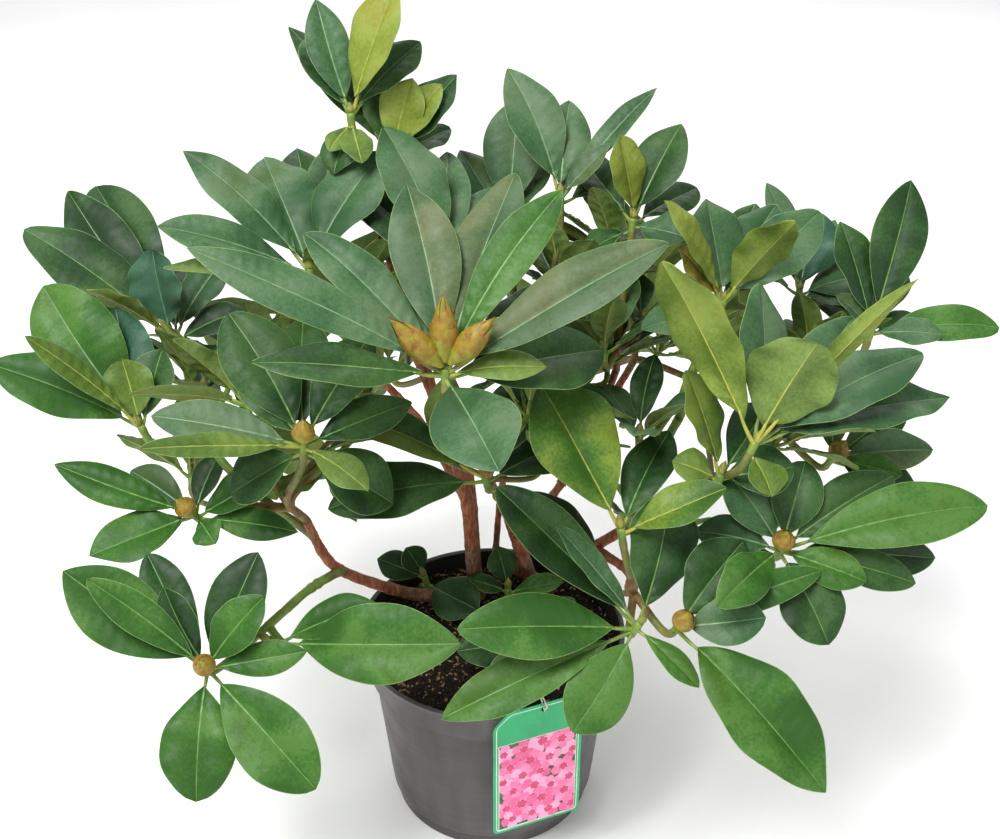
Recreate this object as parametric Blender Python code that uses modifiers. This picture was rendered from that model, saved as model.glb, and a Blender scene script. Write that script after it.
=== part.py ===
"""Potted rhododendron: a young evergreen shrub in a round five-litre nursery pot.

Metres, +Z up. The origin is the middle of the pot's flat underside, and the front faces -Y.
Stems and boughs are tapering tubes. Each mass of foliage is one solid that is grown here: a stem that
starts clear of its bough's tip, a twig to each whorl, and leaves and buds that are fused to the twigs.
"""
import math
import random

import bmesh
import bpy
from mathutils import Vector
from mathutils.bvhtree import BVHTree

MM = 0.001
GAP = 0.3 * MM                    # between two pieces that touch

# ---- Pot, soil and label -------------------------------------------------------------------------
POT_HEIGHT = 170 * MM
RIM_RADIUS = 112.5 * MM
BAND_HEIGHT = 32 * MM             # the flared collar under the rim
BAND_FOOT_RADIUS = 105.5 * MM
WALL_TOP_RADIUS = 101 * MM
WALL_FOOT_RADIUS = 88.5 * MM
FOOT_RADIUS = 85 * MM             # the recessed foot ring
FOOT_HEIGHT = 14 * MM
WALL = 2 * MM
DRAIN_COUNT = 6
DRAIN_RADIUS = 6 * MM
DRAIN_RING_RADIUS = 66 * MM
POT_STEPS = 24                    # facets round the pot
SOIL_TOP = 156 * MM

TAG_WIDTH = 76 * MM
TAG_HEIGHT = 128 * MM
TAG_THICKNESS = 0.8 * MM
TAG_TOP = 180 * MM
TAG_TRIM = 13 * MM                # the trimmed top corners
TAG_TURN = math.radians(22)       # the label faces this far right of the front
TAG_SHIFT = -6 * MM               # its middle, left of where it touches the rim
TAG_CLEAR = 0.4 * MM              # between the rim and the label's back
TAG_HOLE_RADIUS = 2.6 * MM
TAG_HOLE_DROP = 6 * MM
TAG_HOLE_SHIFT = 5 * MM
LOOP_RADIUS = 0.6 * MM            # half the thickness of the label's tie
LOOP_SHARE = 0.3                  # how far up the front shoot's stem the tie goes round it
LOOP_TURN_STEPS = 5
LOOP_RISE = 2.5 * MM              # how far the tie passes above the label's top edge
LOOP_STANDOFF = 2 * MM            # how far it stands off the label's face on both sides of the hole

# ---- Leaves, buds and twigs ----------------------------------------------------------------------
EYE_DOWN = math.radians(31)       # headings are read by an eye that looks this far down on the shrub
LEAF_STATIONS = (0.0, 0.12, 0.33, 0.62, 0.87, 1.0)   # places along a leaf, from its root to its tip
PLAIN_STATIONS = (0.0, 0.13, 0.45, 0.8, 1.0)         # the same on small leaves and by-rule leaves
SMALL_LEAF = 105                  # mm: shorter leaves have the plain stations
PETIOLE_SHARE = 0.13              # of the leaf's length
PETIOLE_HALF_WIDTH = 1.9 * MM
ROOT_DEPTH = 2.2 * MM             # how far a leaf's root is sunk past its twig's middle
WIDEST = 0.58                     # where along the blade it is widest
LEAF_THICKNESS = 0.013            # of the leaf's length, at the midrib
LEAF_FOLD = 0.24                  # rise of the margin over the half width
LEAF_ARCH = 0.045                 # rise of the midrib's middle over the length
LEAF_ZONE = 11 * MM               # length of shoot that a whorl's leaves spring from
WHORL_NECK = 13 * MM              # straight end of a twig, a little longer than that
TWIG_EASE = 0.3                   # how much of its reach a twig keeps to its first and last headings
BUD_SINK = 0.3                    # of a bud's radius, sunk into the twig's end
BUD_TAPER = 0.45                  # how much narrower a bud is toward its tip
FACING = 0.9                      # how far a leaf turns its nearer face to the front
GOLDEN_TURN = math.radians(137.5)
OUTER_SPREAD = 82                 # degrees between a by-rule whorl's outermost leaf and its bud
INNER_CLOSING = 40                # how much closer to the bud the innermost leaf stands
INNER_SHORTENING = 0.25           # how much shorter it is
RULE_WIDTH = 0.33                 # of a by-rule leaf's length
TWIG_RADIUS = 3.3 * MM
TWIG_TIP_RADIUS = 2.7 * MM
SHOOT_RADIUS = 2.2 * MM           # of the shoots that rise from the soil
STUB = 1.5 * MM                   # the straight first stretch of a mass's stem
FLAT_SIDE = 0.96                  # a facet's distance from the limb's middle over the limb's radius
UPRIGHT_FOOT = 5 * MM             # the upright first stretch of a stem that springs from the soil
FORK_SHARE = 0.2                  # where a mass's stem forks, on the way to the middle of its buds
FLARE = 0.45                      # how much wider a stem is at the soil
FLARE_HEIGHT = 9 * MM             # over which the flare dies away
FAR_ABOVE_SOIL = 1                # metres: a height at which nothing of it is left
STOUT_RADIUS = 5 * MM             # thicker limbs have more facets
OLD_BARK = (0.24, 0.11, 0.06)
YOUNG_BARK = (0.2, 0.2, 0.07)
NUDGES = ((0, 0), (5, 0), (-5, 0), (0, 7), (0, -7), (7, 7), (-7, -7), (7, -7), (-7, 7), (0, 14), (0, -14))

UNION_TRIES = 8
SHAKE = 0.05 * MM                 # how far a solid moves each way when a union is tried again
SLIVER = 0.004 * MM               # edges shorter than this are closed up after a union
FLAT_ANGLE = math.radians(0.5)    # faces that bend less than this are made one
LEAST_FACE = 1e-13                # square metres

# ---- Stems and boughs ----------------------------------------------------------------------------
# name, the limb it springs from and how far up that, base and tip radius, way points; all in mm.
# A stem that springs from the soil has a foot in place of its first way point's height.
LIMBS = (
    ("main_stem", "soil", 0, 6.6, 4.4,
     ((-15, 60, 156), (-17, 50, 205), (-21, 36, 276), (-38, 34, 350), (-56, 28, 412))),
    ("top_bough", "main_stem", 0.72, 3.8, 3.3, ((-66, 72, 430), (-90, 86, 505))),
    ("back_left_bough", "main_stem", 0.5, 4.2, 3.3, ((-58, 92, 312), (-105, 135, 345))),
    ("thin_stem", "soil", 0, 3.0, 2.8, ((2, 97, 156), (8, 90, 245), (22, 84, 328))),
    ("front_stem", "soil", 0, 5.9, 4.6, ((36, 72, 156), (20, 43, 233), (10, 8, 290), (5, -4, 306))),
    ("right_stem", "soil", 0, 5.4, 3.6,
     ((48, 58, 156), (62, 44, 197), (92, 20, 243), (125, -10, 290), (155, -42, 340))),
    ("front_right_bough", "right_stem", 0.45, 4.0, 3.3, ((108, -40, 258), (104, -88, 276))),
    ("right_low_bough", "right_stem", 0.72, 3.6, 3.3, ((158, -52, 306), (184, -82, 320))),
    ("far_right_bough", "right_stem", 0.6, 4.0, 3.3, ((160, 4, 290), (208, 26, 322))),
    ("right_upper_bough", "right_stem", 0.66, 4.0, 3.6, ((124, 2, 322), (146, 4, 374))),
    ("upper_right_stem", "soil", 0, 4.0, 3.0, ((24, 94, 156), (48, 80, 240), (80, 62, 310), (100, 58, 385))),
    ("back_right_bough", "upper_right_stem", 0.45, 3.6, 3.3, ((92, 104, 312), (120, 150, 335))),
    ("back_stem", "soil", 0, 4.6, 3.4, ((-14, 84, 156), (-18, 112, 226), (-28, 158, 300))),
    ("left_stem", "soil", 0, 5.6, 3.7,
     ((-48, 52, 156), (-77, 34, 180), (-119, -4, 229), (-134, -15, 255), (-144, -30, 300))),
    ("low_left_bough", "left_stem", 0.55, 3.9, 3.3, ((-142, -58, 254), (-157, -100, 264))),
    ("far_left_bough", "left_stem", 0.9, 3.5, 3.3, ((-172, -32, 318), (-199, -29, 346))),
)

# ---- Foliage -------------------------------------------------------------------------------------
# Each mass: its name, the limb whose tip carries it, and its whorls. Each whorl: the bud's place in mm,
# the bud's heading, the bud's size and the leaves. A heading is a bearing, turning anticlockwise from
# the right as the eye in front sees it, and a lean toward that eye. A leaf adds its length and width.
# A whorl with a single leaf row of three has leaves by rule: how many, how long, first turn.
BIG_BUD = (48, 9)               # a bud's length and radius
MID_BUD = (20, 8)
BIG_BUD_TURNS = (0, 48, -46)      # big buds stand in threes, turned so from their heading
MASSES = (
    ("foliage_front_centre", "front_stem", (
        ((-30, -103, 475), (90, 28), BIG_BUD,
         ((155, 8, 186, 34), (136, -5, 135, 34), (102, -15, 136, 44), (71, -12, 152, 42),
          (57, -5, 146, 32), (29, 5, 170, 42), (124, -22, 76, 15), (42, 2, 52, 13),
          (38, -35, 125, 30), (179, 22, 130, 36), (299, 48, 112, 54), (8, -25, 122, 58),
          (1, 2, 68, 22))),
        ((-5, -26, 340), (105, 20), None, ((157, 15, 140, 34), (192, 12, 122, 50), (58, -10, 96, 46),
          (325, -10, 108, 40), (18, -22, 92, 44))),
    )),
    ("foliage_front_right", "front_right_bough", (
        ((134, -152, 296), (60, 50), MID_BUD,
         ((311, 10, 150, 58), (20, -5, 109, 24), (6, 2, 60, 32), (50, -14, 78, 44))),
        ((107, -143, 291), (60, 35), None,
         ((180, 15, 134, 44), (205, 5, 157, 35), (237, 10, 91, 44), (137, -5, 141, 40),
          (131, 14, 96, 20), (75, -12, 97, 50), (312, 12, 61, 20))),
        ((93, -109, 349), (100, 20), None,
         ((119, -4, 118, 62), (22, 12, 80, 32), (60, -30, 90, 34))),
    )),
    ("foliage_right_front", "right_stem", (
        ((186, -94, 413), (65, 5), None,
         ((122, 25, 153, 46), (64, 32, 86, 60), (48, 20, 154, 18), (27, -5, 135, 50),
          (12, -10, 149, 46), (87, -8, 113, 42), (47, -24, 140, 36), (282, 20, 42, 30))),
        ((165, -86, 380), (75, 20), None,
         ((110, 12, 80, 34), (165, 10, 36, 28), (50, -35, 84, 34), (5, -5, 54, 38))),
    )),
    ("foliage_right_low", "right_low_bough", (
        ((210, -107, 332), (85, 50), MID_BUD,
         ((11, 0, 151, 44), (342, 10, 64, 28), (214, 20, 84, 32), (294, 15, 77, 46),
          (131, -10, 66, 38), (72, -15, 65, 36), (166, -5, 63, 30), (354, -18, 130, 34),
          (30, -12, 102, 36), (344, -10, 106, 28))),
    )),
    ("foliage_front_left", "low_left_bough", (
        ((-205, -152, 257), (90, 65), MID_BUD,
         ((146, 0, 124, 50), (139, 16, 106, 26), (120, -10, 94, 32), (115, 10, 66, 26),
          (66, -5, 90, 40), (50, 6, 68, 32), (9, 0, 74, 24), (268, 10, 94, 50),
          (314, 5, 118, 50))),
        ((-163, -126, 261), (150, 30), None, ((18, 5, 86, 30), (1, 10, 146, 54))),
    )),
    ("foliage_left", "left_stem", (
        ((-133, -77, 403), (85, 35), MID_BUD,
         ((183, 28, 116, 20), (171, 0, 110, 34), (325, 30, 70, 24), (122, -10, 110, 50),
          (133, -6, 78, 30), (95, -32, 110, 42), (60, -22, 96, 36), (20, -25, 88, 32),
          (322, -25, 86, 46), (215, -20, 74, 40))),
        ((-227, -53, 324), (130, 40), MID_BUD,
         ((160, 5, 107, 28), (204, 15, 80, 40), (206, 0, 64, 30), (311, 15, 32, 24),
          (25, -5, 66, 30), (350, 5, 84, 24), (148, -14, 60, 28), (68, -20, 52, 26))),
    )),
    ("foliage_far_left", "far_left_bough", (
        ((-265, -20, 381), (110, 35), None,
         ((157, 10, 117, 46), (137, 30, 108, 20), (126, -5, 132, 62), (105, -14, 96, 42),
          (103, 10, 52, 38), (74, -4, 60, 34))),
        ((-253, 60, 416), (110, 30), None,
         ((144, 5, 140, 48), (127, -5, 147, 46), (120, -16, 150, 50), (99, 15, 70, 46),
          (149, 35, 80, 28), (60, -20, 90, 32), (90, -50, 110, 34),
          (20, -10, 62, 30), (215, -5, 50, 30))),
    )),
    ("foliage_upper_left", "main_stem", (
        ((-133, 14, 495), (95, 25), None,
         ((137, 0, 127, 36), (114, -12, 100, 52), (101, -35, 128, 36), (59, -6, 103, 50),
          (166, 16, 112, 32), (181, 8, 105, 20), (84, -30, 122, 28))),
        ((-30, 16, 499), (90, 25), None,
         ((116, -5, 114, 48), (92, -32, 108, 36), (58, -30, 92, 32), (20, -35, 90, 34),
          (140, -15, 96, 40))),
    )),
    ("foliage_top", "top_bough", (
        ((-104, 82, 590), (95, 25), None,
         ((107, 0, 88, 30), (67, 15, 98, 46), (48, -12, 78, 34), (121, -12, 70, 30),
          (285, 30, 50, 22), (245, 20, 36, 16), (85, -60, 84, 28), (262, -5, 48, 30))),
        ((-74, 87, 556), (80, 25), None,
         ((74, 15, 58, 34), (50, 5, 76, 36), (52, 20, 64, 30), (129, -12, 128, 30),
          (30, -25, 54, 28), (100, -10, 62, 32))),
    )),
    ("foliage_upper_centre", "thin_stem", (
        ((53, 79, 526), (92, 20), None,
         ((112, -6, 108, 40), (84, -12, 79, 38), (48, 0, 110, 20), (44, 12, 54, 24),
          (75, -48, 96, 32), (15, -35, 90, 32))),
        ((13, 106, 490), (92, 15), None,
         ((85, 0, 100, 46), (122, -5, 72, 34), (172, 2, 50, 26), (130, -42, 92, 30),
          (62, -12, 72, 32))),
        ((48, 30, 388), (95, 15), None, ((5, 84, 50),)),
    )),
    ("foliage_upper_right", "upper_right_stem", (
        ((108, 61, 515), (85, 25), None,
         ((102, 20, 63, 38), (63, -5, 82, 40), (79, -18, 56, 28), (336, 20, 46, 32),
          (125, -45, 88, 30), (30, -42, 88, 30),
          (215, -20, 60, 32))),
        ((86, 22, 424), (95, 10), None, ((6, 92, 40),)),
    )),
    ("foliage_right_upper", "right_upper_bough", (
        ((176, 29, 462), (75, 20), None,
         ((127, 30, 97, 32), (134, 16, 54, 28), (99, -6, 78, 52), (42, -10, 105, 44),
          (68, -28, 98, 30), (50, 36, 84, 40), (59, -15, 94, 38), (33, -26, 112, 28),
          (200, 5, 70, 30))),
        ((112, -26, 378), (90, 20), None, ((6, 88, 60),)),
    )),
    ("foliage_far_right", "far_right_bough", (
        ((302, 63, 421), (75, 15), None,
         ((74, -5, 124, 42), (105, -6, 89, 34), (0, 0, 101, 36), (352, 8, 54, 28),
          (141, 10, 40, 24), (55, -42, 96, 32), (8, -38, 72, 28))),
        ((255, 123, 425), (85, 10), None,
         ((350, 10, 44, 25), (107, 0, 93, 28), (77, -4, 70, 52), (60, -22, 78, 30),
          (150, -12, 84, 28), (90, -50, 90, 30),
          (12, -5, 62, 40), (338, -12, 64, 38))),
        ((272, 11, 334), (60, 40), MID_BUD,
         ((3, 0, 78, 32), (343, 12, 54, 24), (332, 4, 78, 38), (95, -10, 46, 26),
          (30, -22, 84, 28))),
    )),
    ("foliage_back_left", "back_left_bough", (
        ((-165, 170, 380), (110, -10), None, ((7, 118, 20),)),
        ((-225, 118, 300), (150, -15), None,
         ((335, -5, 96, 42), (300, 5, 78, 38), (20, -12, 92, 36), (75, -20, 96, 36),
          (120, -25, 90, 34), (165, -40, 88, 32), (230, -45, 70, 32))),
    )),
    ("foliage_back", "back_stem", (
        ((-35, 225, 395), (92, -15), None, ((7, 122, 50),)),
        ((-100, 240, 285), (120, -35), None, ((7, 112, 10),)),
    )),
    ("foliage_back_right", "back_right_bough", (
        ((130, 218, 380), (75, -15), None, ((7, 120, 35),)),
        ((225, 165, 325), (45, -20), None, ((7, 110, 60),)),
        ((70, 262, 285), (80, -40), None, ((7, 112, 0),)),
    )),
)

# Shoots that rise straight from the soil: name, foot and whorls as above.
BASAL_SHOOTS = (
    ("basal_leaves_left", (-64, 76), (
        ((-60, 62, 176), (110, 20), None,
         ((160, 0, 44, 28), (122, 8, 30, 24), (354, 4, 58, 36), (332, 18, 66, 40))),
    )),
    ("basal_leaves_right", (14, 50), (
        ((14, 42, 178), (90, 20), None,
         ((100, 0, 38, 26), (8, 8, 50, 22), (165, 14, 36, 18))),
    )),
    ("basal_leaves_front", (26, -18), (
        ((33, -44, 198), (60, 30), None,
         ((192, 6, 62, 36), (250, 20, 62, 36), (40, 0, 45, 20))),
    )),
)

RIGHT = Vector((1, 0, 0))
UPWARD = Vector((0, math.sin(EYE_DOWN), math.cos(EYE_DOWN)))
TOWARD = Vector((0, -math.cos(EYE_DOWN), math.sin(EYE_DOWN)))


# ---- Scene and materials -------------------------------------------------------------------------
def clear_scene():
    for thing in list(bpy.data.objects):
        bpy.data.objects.remove(thing, do_unlink=True)


def new_collection(name):
    collection = bpy.data.collections.new(name)
    bpy.context.scene.collection.children.link(collection)
    return collection


def principled(name, colour, roughness):
    material = bpy.data.materials.new(name)
    material.use_nodes = True
    shader = material.node_tree.nodes["Principled BSDF"]
    shader.inputs["Base Color"].default_value = (*colour, 1)
    shader.inputs["Roughness"].default_value = roughness
    shader.inputs["Metallic"].default_value = 0
    material.diffuse_color = (*colour, 1)
    return material


def move_to(thing, collection):
    for other in list(thing.users_collection):
        other.objects.unlink(thing)
    collection.objects.link(thing)


def finish(thing, collection, colour, roughness):
    """Give a finished piece its own material and its place in the part's collection."""
    move_to(thing, collection)
    thing.data.materials.clear()
    thing.data.materials.append(principled(thing.name, colour, roughness))


# ---- Headings and paths --------------------------------------------------------------------------
def heading(bearing, lean):
    """The direction of a bearing and a lean in degrees, as the eye in front reads them."""
    across = math.cos(math.radians(lean))
    sideways = RIGHT * math.cos(math.radians(bearing)) + UPWARD * math.sin(math.radians(bearing))
    return (sideways * across + TOWARD * math.sin(math.radians(lean))).normalized()


def smooth_path(points, steps):
    """A Catmull-Rom curve through the points, with so many steps between each two."""
    ends = [points[0] * 2 - points[1], *points, points[-1] * 2 - points[-2]]
    path = []
    for i in range(len(points) - 1):
        a, b, c, d = ends[i:i + 4]
        for k in range(steps):
            t = k / steps
            path.append(0.5 * (2 * b + (c - a) * t + (2 * a - 5 * b + 4 * c - d) * t * t
                               + (3 * b - a - 3 * c + d) * t ** 3))
    path.append(points[-1].copy())
    return path


def along(path, share):
    """The place and the direction at a share of the way along a path."""
    place = share * (len(path) - 1)
    i = min(int(place), len(path) - 2)
    return path[i].lerp(path[i + 1], place - i), (path[i + 1] - path[i]).normalized()


def twig_path(start, direction, site, axis, steps=3, flat_start=True):
    """A path that leaves the start along one direction and ends straight along the bud's axis."""
    neck = site - axis * WHORL_NECK
    reach = (neck - start).length
    first = start + direction * TWIG_EASE * reach
    last = neck - axis * TWIG_EASE * reach
    path = [start, start + direction * STUB] if flat_start else [start]
    for k in range(1, steps + 1):
        t = k / steps
        path.append(start * (1 - t) ** 3 + first * 3 * t * (1 - t) ** 2
                    + last * 3 * t * t * (1 - t) + neck * t ** 3)
    path.append(site)
    return path


# ---- Solids --------------------------------------------------------------------------------------
def tube(name, path, radii, bevel_resolution, closed=False):
    """A round limb along a path, made as a bevelled curve and turned into a closed mesh."""
    curve = bpy.data.curves.new(name, "CURVE")
    curve.dimensions = "3D"
    curve.bevel_depth = 1
    curve.bevel_resolution = bevel_resolution
    curve.use_fill_caps = True
    spline = curve.splines.new("POLY")
    spline.points.add(len(path) - 1)
    spline.use_cyclic_u = closed
    for point, place, radius in zip(spline.points, path, radii):
        point.co = (*place, 1)
        point.radius = radius
    guide = bpy.data.objects.new(name + "_guide", curve)
    bpy.context.scene.collection.objects.link(guide)
    evaluated = guide.evaluated_get(bpy.context.evaluated_depsgraph_get())
    mesh = bpy.data.meshes.new_from_object(evaluated)
    bm = bmesh.new()
    bm.from_mesh(mesh)
    bmesh.ops.remove_doubles(bm, verts=bm.verts, dist=0.01 * MM)
    face_outward(bm)
    bm.to_mesh(mesh)
    bm.free()
    bpy.data.objects.remove(guide)
    bpy.data.curves.remove(curve)
    thing = bpy.data.objects.new(name, mesh)
    bpy.context.scene.collection.objects.link(thing)
    mesh.shade_smooth()
    return thing


def face_outward(bm):
    """Turn a closed mesh's faces outward; on a thin leaf the first guess can be inside out."""
    bmesh.ops.recalc_face_normals(bm, faces=bm.faces)
    if bm.calc_volume(signed=True) < 0:
        bmesh.ops.reverse_faces(bm, faces=bm.faces)


def object_from(bm, name):
    mesh = bpy.data.meshes.new(name)
    face_outward(bm)
    bm.to_mesh(mesh)
    bm.free()
    mesh.shade_smooth()
    thing = bpy.data.objects.new(name, mesh)
    bpy.context.scene.collection.objects.link(thing)
    return thing


def half_width(t, width):
    """Half the leaf's width at a share of its length: a thin petiole, then an oval blade."""
    if t <= PETIOLE_SHARE:
        return PETIOLE_HALF_WIDTH
    s = (t - PETIOLE_SHARE) / (1 - PETIOLE_SHARE)
    if s < WIDEST:
        oval = math.sin(math.pi / 2 * s / WIDEST) ** 0.85
    else:
        oval = math.cos(math.pi / 2 * (s - WIDEST) / (1 - WIDEST)) ** 0.62
    return max(PETIOLE_HALF_WIDTH, width / 2 * oval)


def leaf(root, tip, face, width, stations, spare=0.0):
    """A leaf as a four-sided ball, drawn out from root to tip, folded along its midrib and arched.

    Its upper side looks along face. Spare thickens it, for testing what it would touch.
    """
    length = (tip - root).length
    direction = (tip - root) / length
    face = (face - direction * face.dot(direction)).normalized()
    side = direction.cross(face)
    bm = bmesh.new()
    rings = len(stations) - 1
    bmesh.ops.create_uvsphere(bm, u_segments=4, v_segments=rings, radius=1)
    for vert in bm.verts:
        polar = math.acos(max(-1, min(1, vert.co.z)))
        t = stations[round(polar / math.pi * rings)]
        outward = vert.co.x / max(math.sin(polar), 0.1)
        upward = vert.co.y / max(math.sin(polar), 0.1)
        half = half_width(t, width) if 0 < t < 1 else 0
        blade = min(1, max(0, t - PETIOLE_SHARE) * 4)
        lift = LEAF_ARCH * length * 4 * t * (1 - t) + abs(outward) * half * LEAF_FOLD * blade
        thick = (max(LEAF_THICKNESS * length / 2, PETIOLE_HALF_WIDTH * (1 - blade)) + spare) * upward
        vert.co = root + direction * t * length + side * outward * (half + spare) + face * (lift + thick)
        if t == 0:
            vert.co = root - direction * ROOT_DEPTH
    bmesh.ops.triangulate(bm, faces=bm.faces, quad_method="SHORT_EDGE")
    return bm


def bud(root, direction, length, radius):
    """A pointed bud: a ball drawn out along its heading, narrower at the tip."""
    bm = bmesh.new()
    bmesh.ops.create_uvsphere(bm, u_segments=6, v_segments=4, radius=1)
    turn = direction.to_track_quat("Z", "Y")
    for vert in bm.verts:
        rise = (vert.co.z + 1) / 2
        slim = 1 - BUD_TAPER * rise
        local = Vector((vert.co.x * radius * slim, vert.co.y * radius * slim, rise * length))
        vert.co = root + turn @ local
    return bm


def union(name, first, others):
    """Fuse solids into one outer shell, with no scraps and no sealed hollows.

    Where edges meet by chance the result can touch itself, so it is tried again with the solids shaken.
    """
    group = new_collection(name + "_pieces")
    for thing in others:
        move_to(thing, group)
    joined = first.modifiers.new("Fuse", "BOOLEAN")
    joined.operation = "UNION"
    joined.operand_type = "COLLECTION"
    joined.collection = group
    shake = random.Random(name)
    for attempt in range(UNION_TRIES):
        joined.solver = "EXACT" if attempt % 2 == 0 else "MANIFOLD"
        bm = outer_shell(first)
        if is_sound(bm):
            break
        for thing in others:
            thing.location = [shake.uniform(-SHAKE, SHAKE) for _ in range(3)]
    for thing in [first, *others]:
        bpy.data.objects.remove(thing, do_unlink=True)
    bpy.data.collections.remove(group)
    mesh = bpy.data.meshes.new(name)
    bm.to_mesh(mesh)
    bm.free()
    thing = bpy.data.objects.new(name, mesh)
    bpy.context.scene.collection.objects.link(thing)
    return thing


def outer_shell(fused):
    """The triangles of an object with its modifiers applied, without slivers or loose pieces."""
    bm = bmesh.new()
    bm.from_object(fused, bpy.context.evaluated_depsgraph_get())
    keep_outer_shell(bm)
    bmesh.ops.dissolve_limit(bm, angle_limit=FLAT_ANGLE, verts=bm.verts, edges=bm.edges)
    bmesh.ops.remove_doubles(bm, verts=bm.verts, dist=SLIVER)
    bmesh.ops.dissolve_degenerate(bm, edges=bm.edges, dist=SLIVER)
    bmesh.ops.triangulate(bm, faces=bm.faces)
    return bm


def is_sound(bm):
    """Whether a mesh is one closed body that touches itself nowhere and has no face without area."""
    if not all(edge.is_manifold and edge.is_contiguous for edge in bm.edges):
        return False
    if not all(vert.is_manifold for vert in bm.verts):
        return False
    return all(face.calc_area() > LEAST_FACE for face in bm.faces)


def keep_outer_shell(bm):
    """Delete every island of faces but the one with the most faces."""
    unseen = set(bm.faces)
    islands = []
    while unseen:
        island = set()
        front = [unseen.pop()]
        while front:
            face = front.pop()
            island.add(face)
            for edge in face.edges:
                for other in edge.link_faces:
                    if other in unseen:
                        unseen.discard(other)
                        front.append(other)
        islands.append(island)
    islands.sort(key=len, reverse=True)
    scraps = [face for island in islands[1:] for face in island]
    bmesh.ops.delete(bm, geom=scraps, context="FACES")


# ---- Pot, soil and label -------------------------------------------------------------------------
def turned(name, profile):
    """A turned solid from a profile of radius and height that runs down its outer side."""
    mesh = bpy.data.meshes.new(name)
    bm = bmesh.new()
    verts = [bm.verts.new((radius, 0, height)) for radius, height in profile]
    for a, b in zip(verts, verts[1:]):
        bm.edges.new((a, b))
    bm.to_mesh(mesh)
    bm.free()
    thing = bpy.data.objects.new(name, mesh)
    bpy.context.scene.collection.objects.link(thing)
    screw = thing.modifiers.new("Turn", "SCREW")
    screw.steps = POT_STEPS
    screw.render_steps = POT_STEPS
    screw.use_merge_vertices = True
    screw.merge_threshold = 0.0001
    screw.use_smooth_shade = True
    return thing


def make_pot(collection, cutters):
    collar = POT_HEIGHT - BAND_HEIGHT
    pot = turned("pot", (
        (0, WALL), (FOOT_RADIUS - WALL, WALL), (FOOT_RADIUS - WALL, FOOT_HEIGHT + WALL),
        (WALL_FOOT_RADIUS - WALL, FOOT_HEIGHT + WALL), (WALL_TOP_RADIUS - WALL, collar + WALL),
        (BAND_FOOT_RADIUS - WALL, collar + WALL), (RIM_RADIUS - 2 * WALL, POT_HEIGHT),
        (RIM_RADIUS, POT_HEIGHT), (RIM_RADIUS, POT_HEIGHT - WALL),
        (BAND_FOOT_RADIUS, collar), (WALL_TOP_RADIUS, collar),
        (WALL_FOOT_RADIUS, FOOT_HEIGHT), (FOOT_RADIUS, FOOT_HEIGHT - WALL),
        (FOOT_RADIUS, 0), (0, 0)))
    for i in range(DRAIN_COUNT):
        turn = 2 * math.pi * i / DRAIN_COUNT
        bpy.ops.mesh.primitive_cylinder_add(
            vertices=8, radius=DRAIN_RADIUS, depth=4 * WALL,
            location=(DRAIN_RING_RADIUS * math.cos(turn), DRAIN_RING_RADIUS * math.sin(turn), 0))
        drain = bpy.context.object
        drain.name = "drain_cutter_%d" % i
        drain.hide_render = True
        drain.display_type = "WIRE"
        move_to(drain, cutters)
    cut = pot.modifiers.new("Drains", "BOOLEAN")
    cut.operation = "DIFFERENCE"
    cut.operand_type = "COLLECTION"
    cut.collection = cutters
    finish(pot, collection, (0.09, 0.085, 0.085), 0.5)


def make_soil(collection):
    floor = WALL + GAP
    step = FOOT_HEIGHT + WALL + GAP
    collar = POT_HEIGHT - BAND_HEIGHT + WALL + GAP
    wall_foot = WALL_FOOT_RADIUS - WALL - GAP
    wall_top = WALL_TOP_RADIUS - WALL - GAP
    band_rise = (SOIL_TOP - collar) / (BAND_HEIGHT - WALL)
    band_foot = BAND_FOOT_RADIUS - WALL - 2 * GAP
    band_top = band_foot + (RIM_RADIUS - WALL - BAND_FOOT_RADIUS) * band_rise
    soil = turned("soil", (
        (0, SOIL_TOP), (band_top, SOIL_TOP), (band_foot, collar), (wall_top, collar),
        (wall_foot, step), (FOOT_RADIUS - WALL - GAP, step), (FOOT_RADIUS - WALL - GAP, floor), (0, floor)))
    finish(soil, collection, (0.06, 0.045, 0.035), 0.95)


def tag_place(sideways, height, back=0.0):
    """A point of the label: right of its middle, up from the ground, and out from its back face."""
    out = Vector((math.sin(TAG_TURN), -math.cos(TAG_TURN), 0))
    right = Vector((math.cos(TAG_TURN), math.sin(TAG_TURN), 0))
    return out * (RIM_RADIUS + TAG_CLEAR + back) + right * (TAG_SHIFT + sideways) + Vector((0, 0, height))


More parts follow.
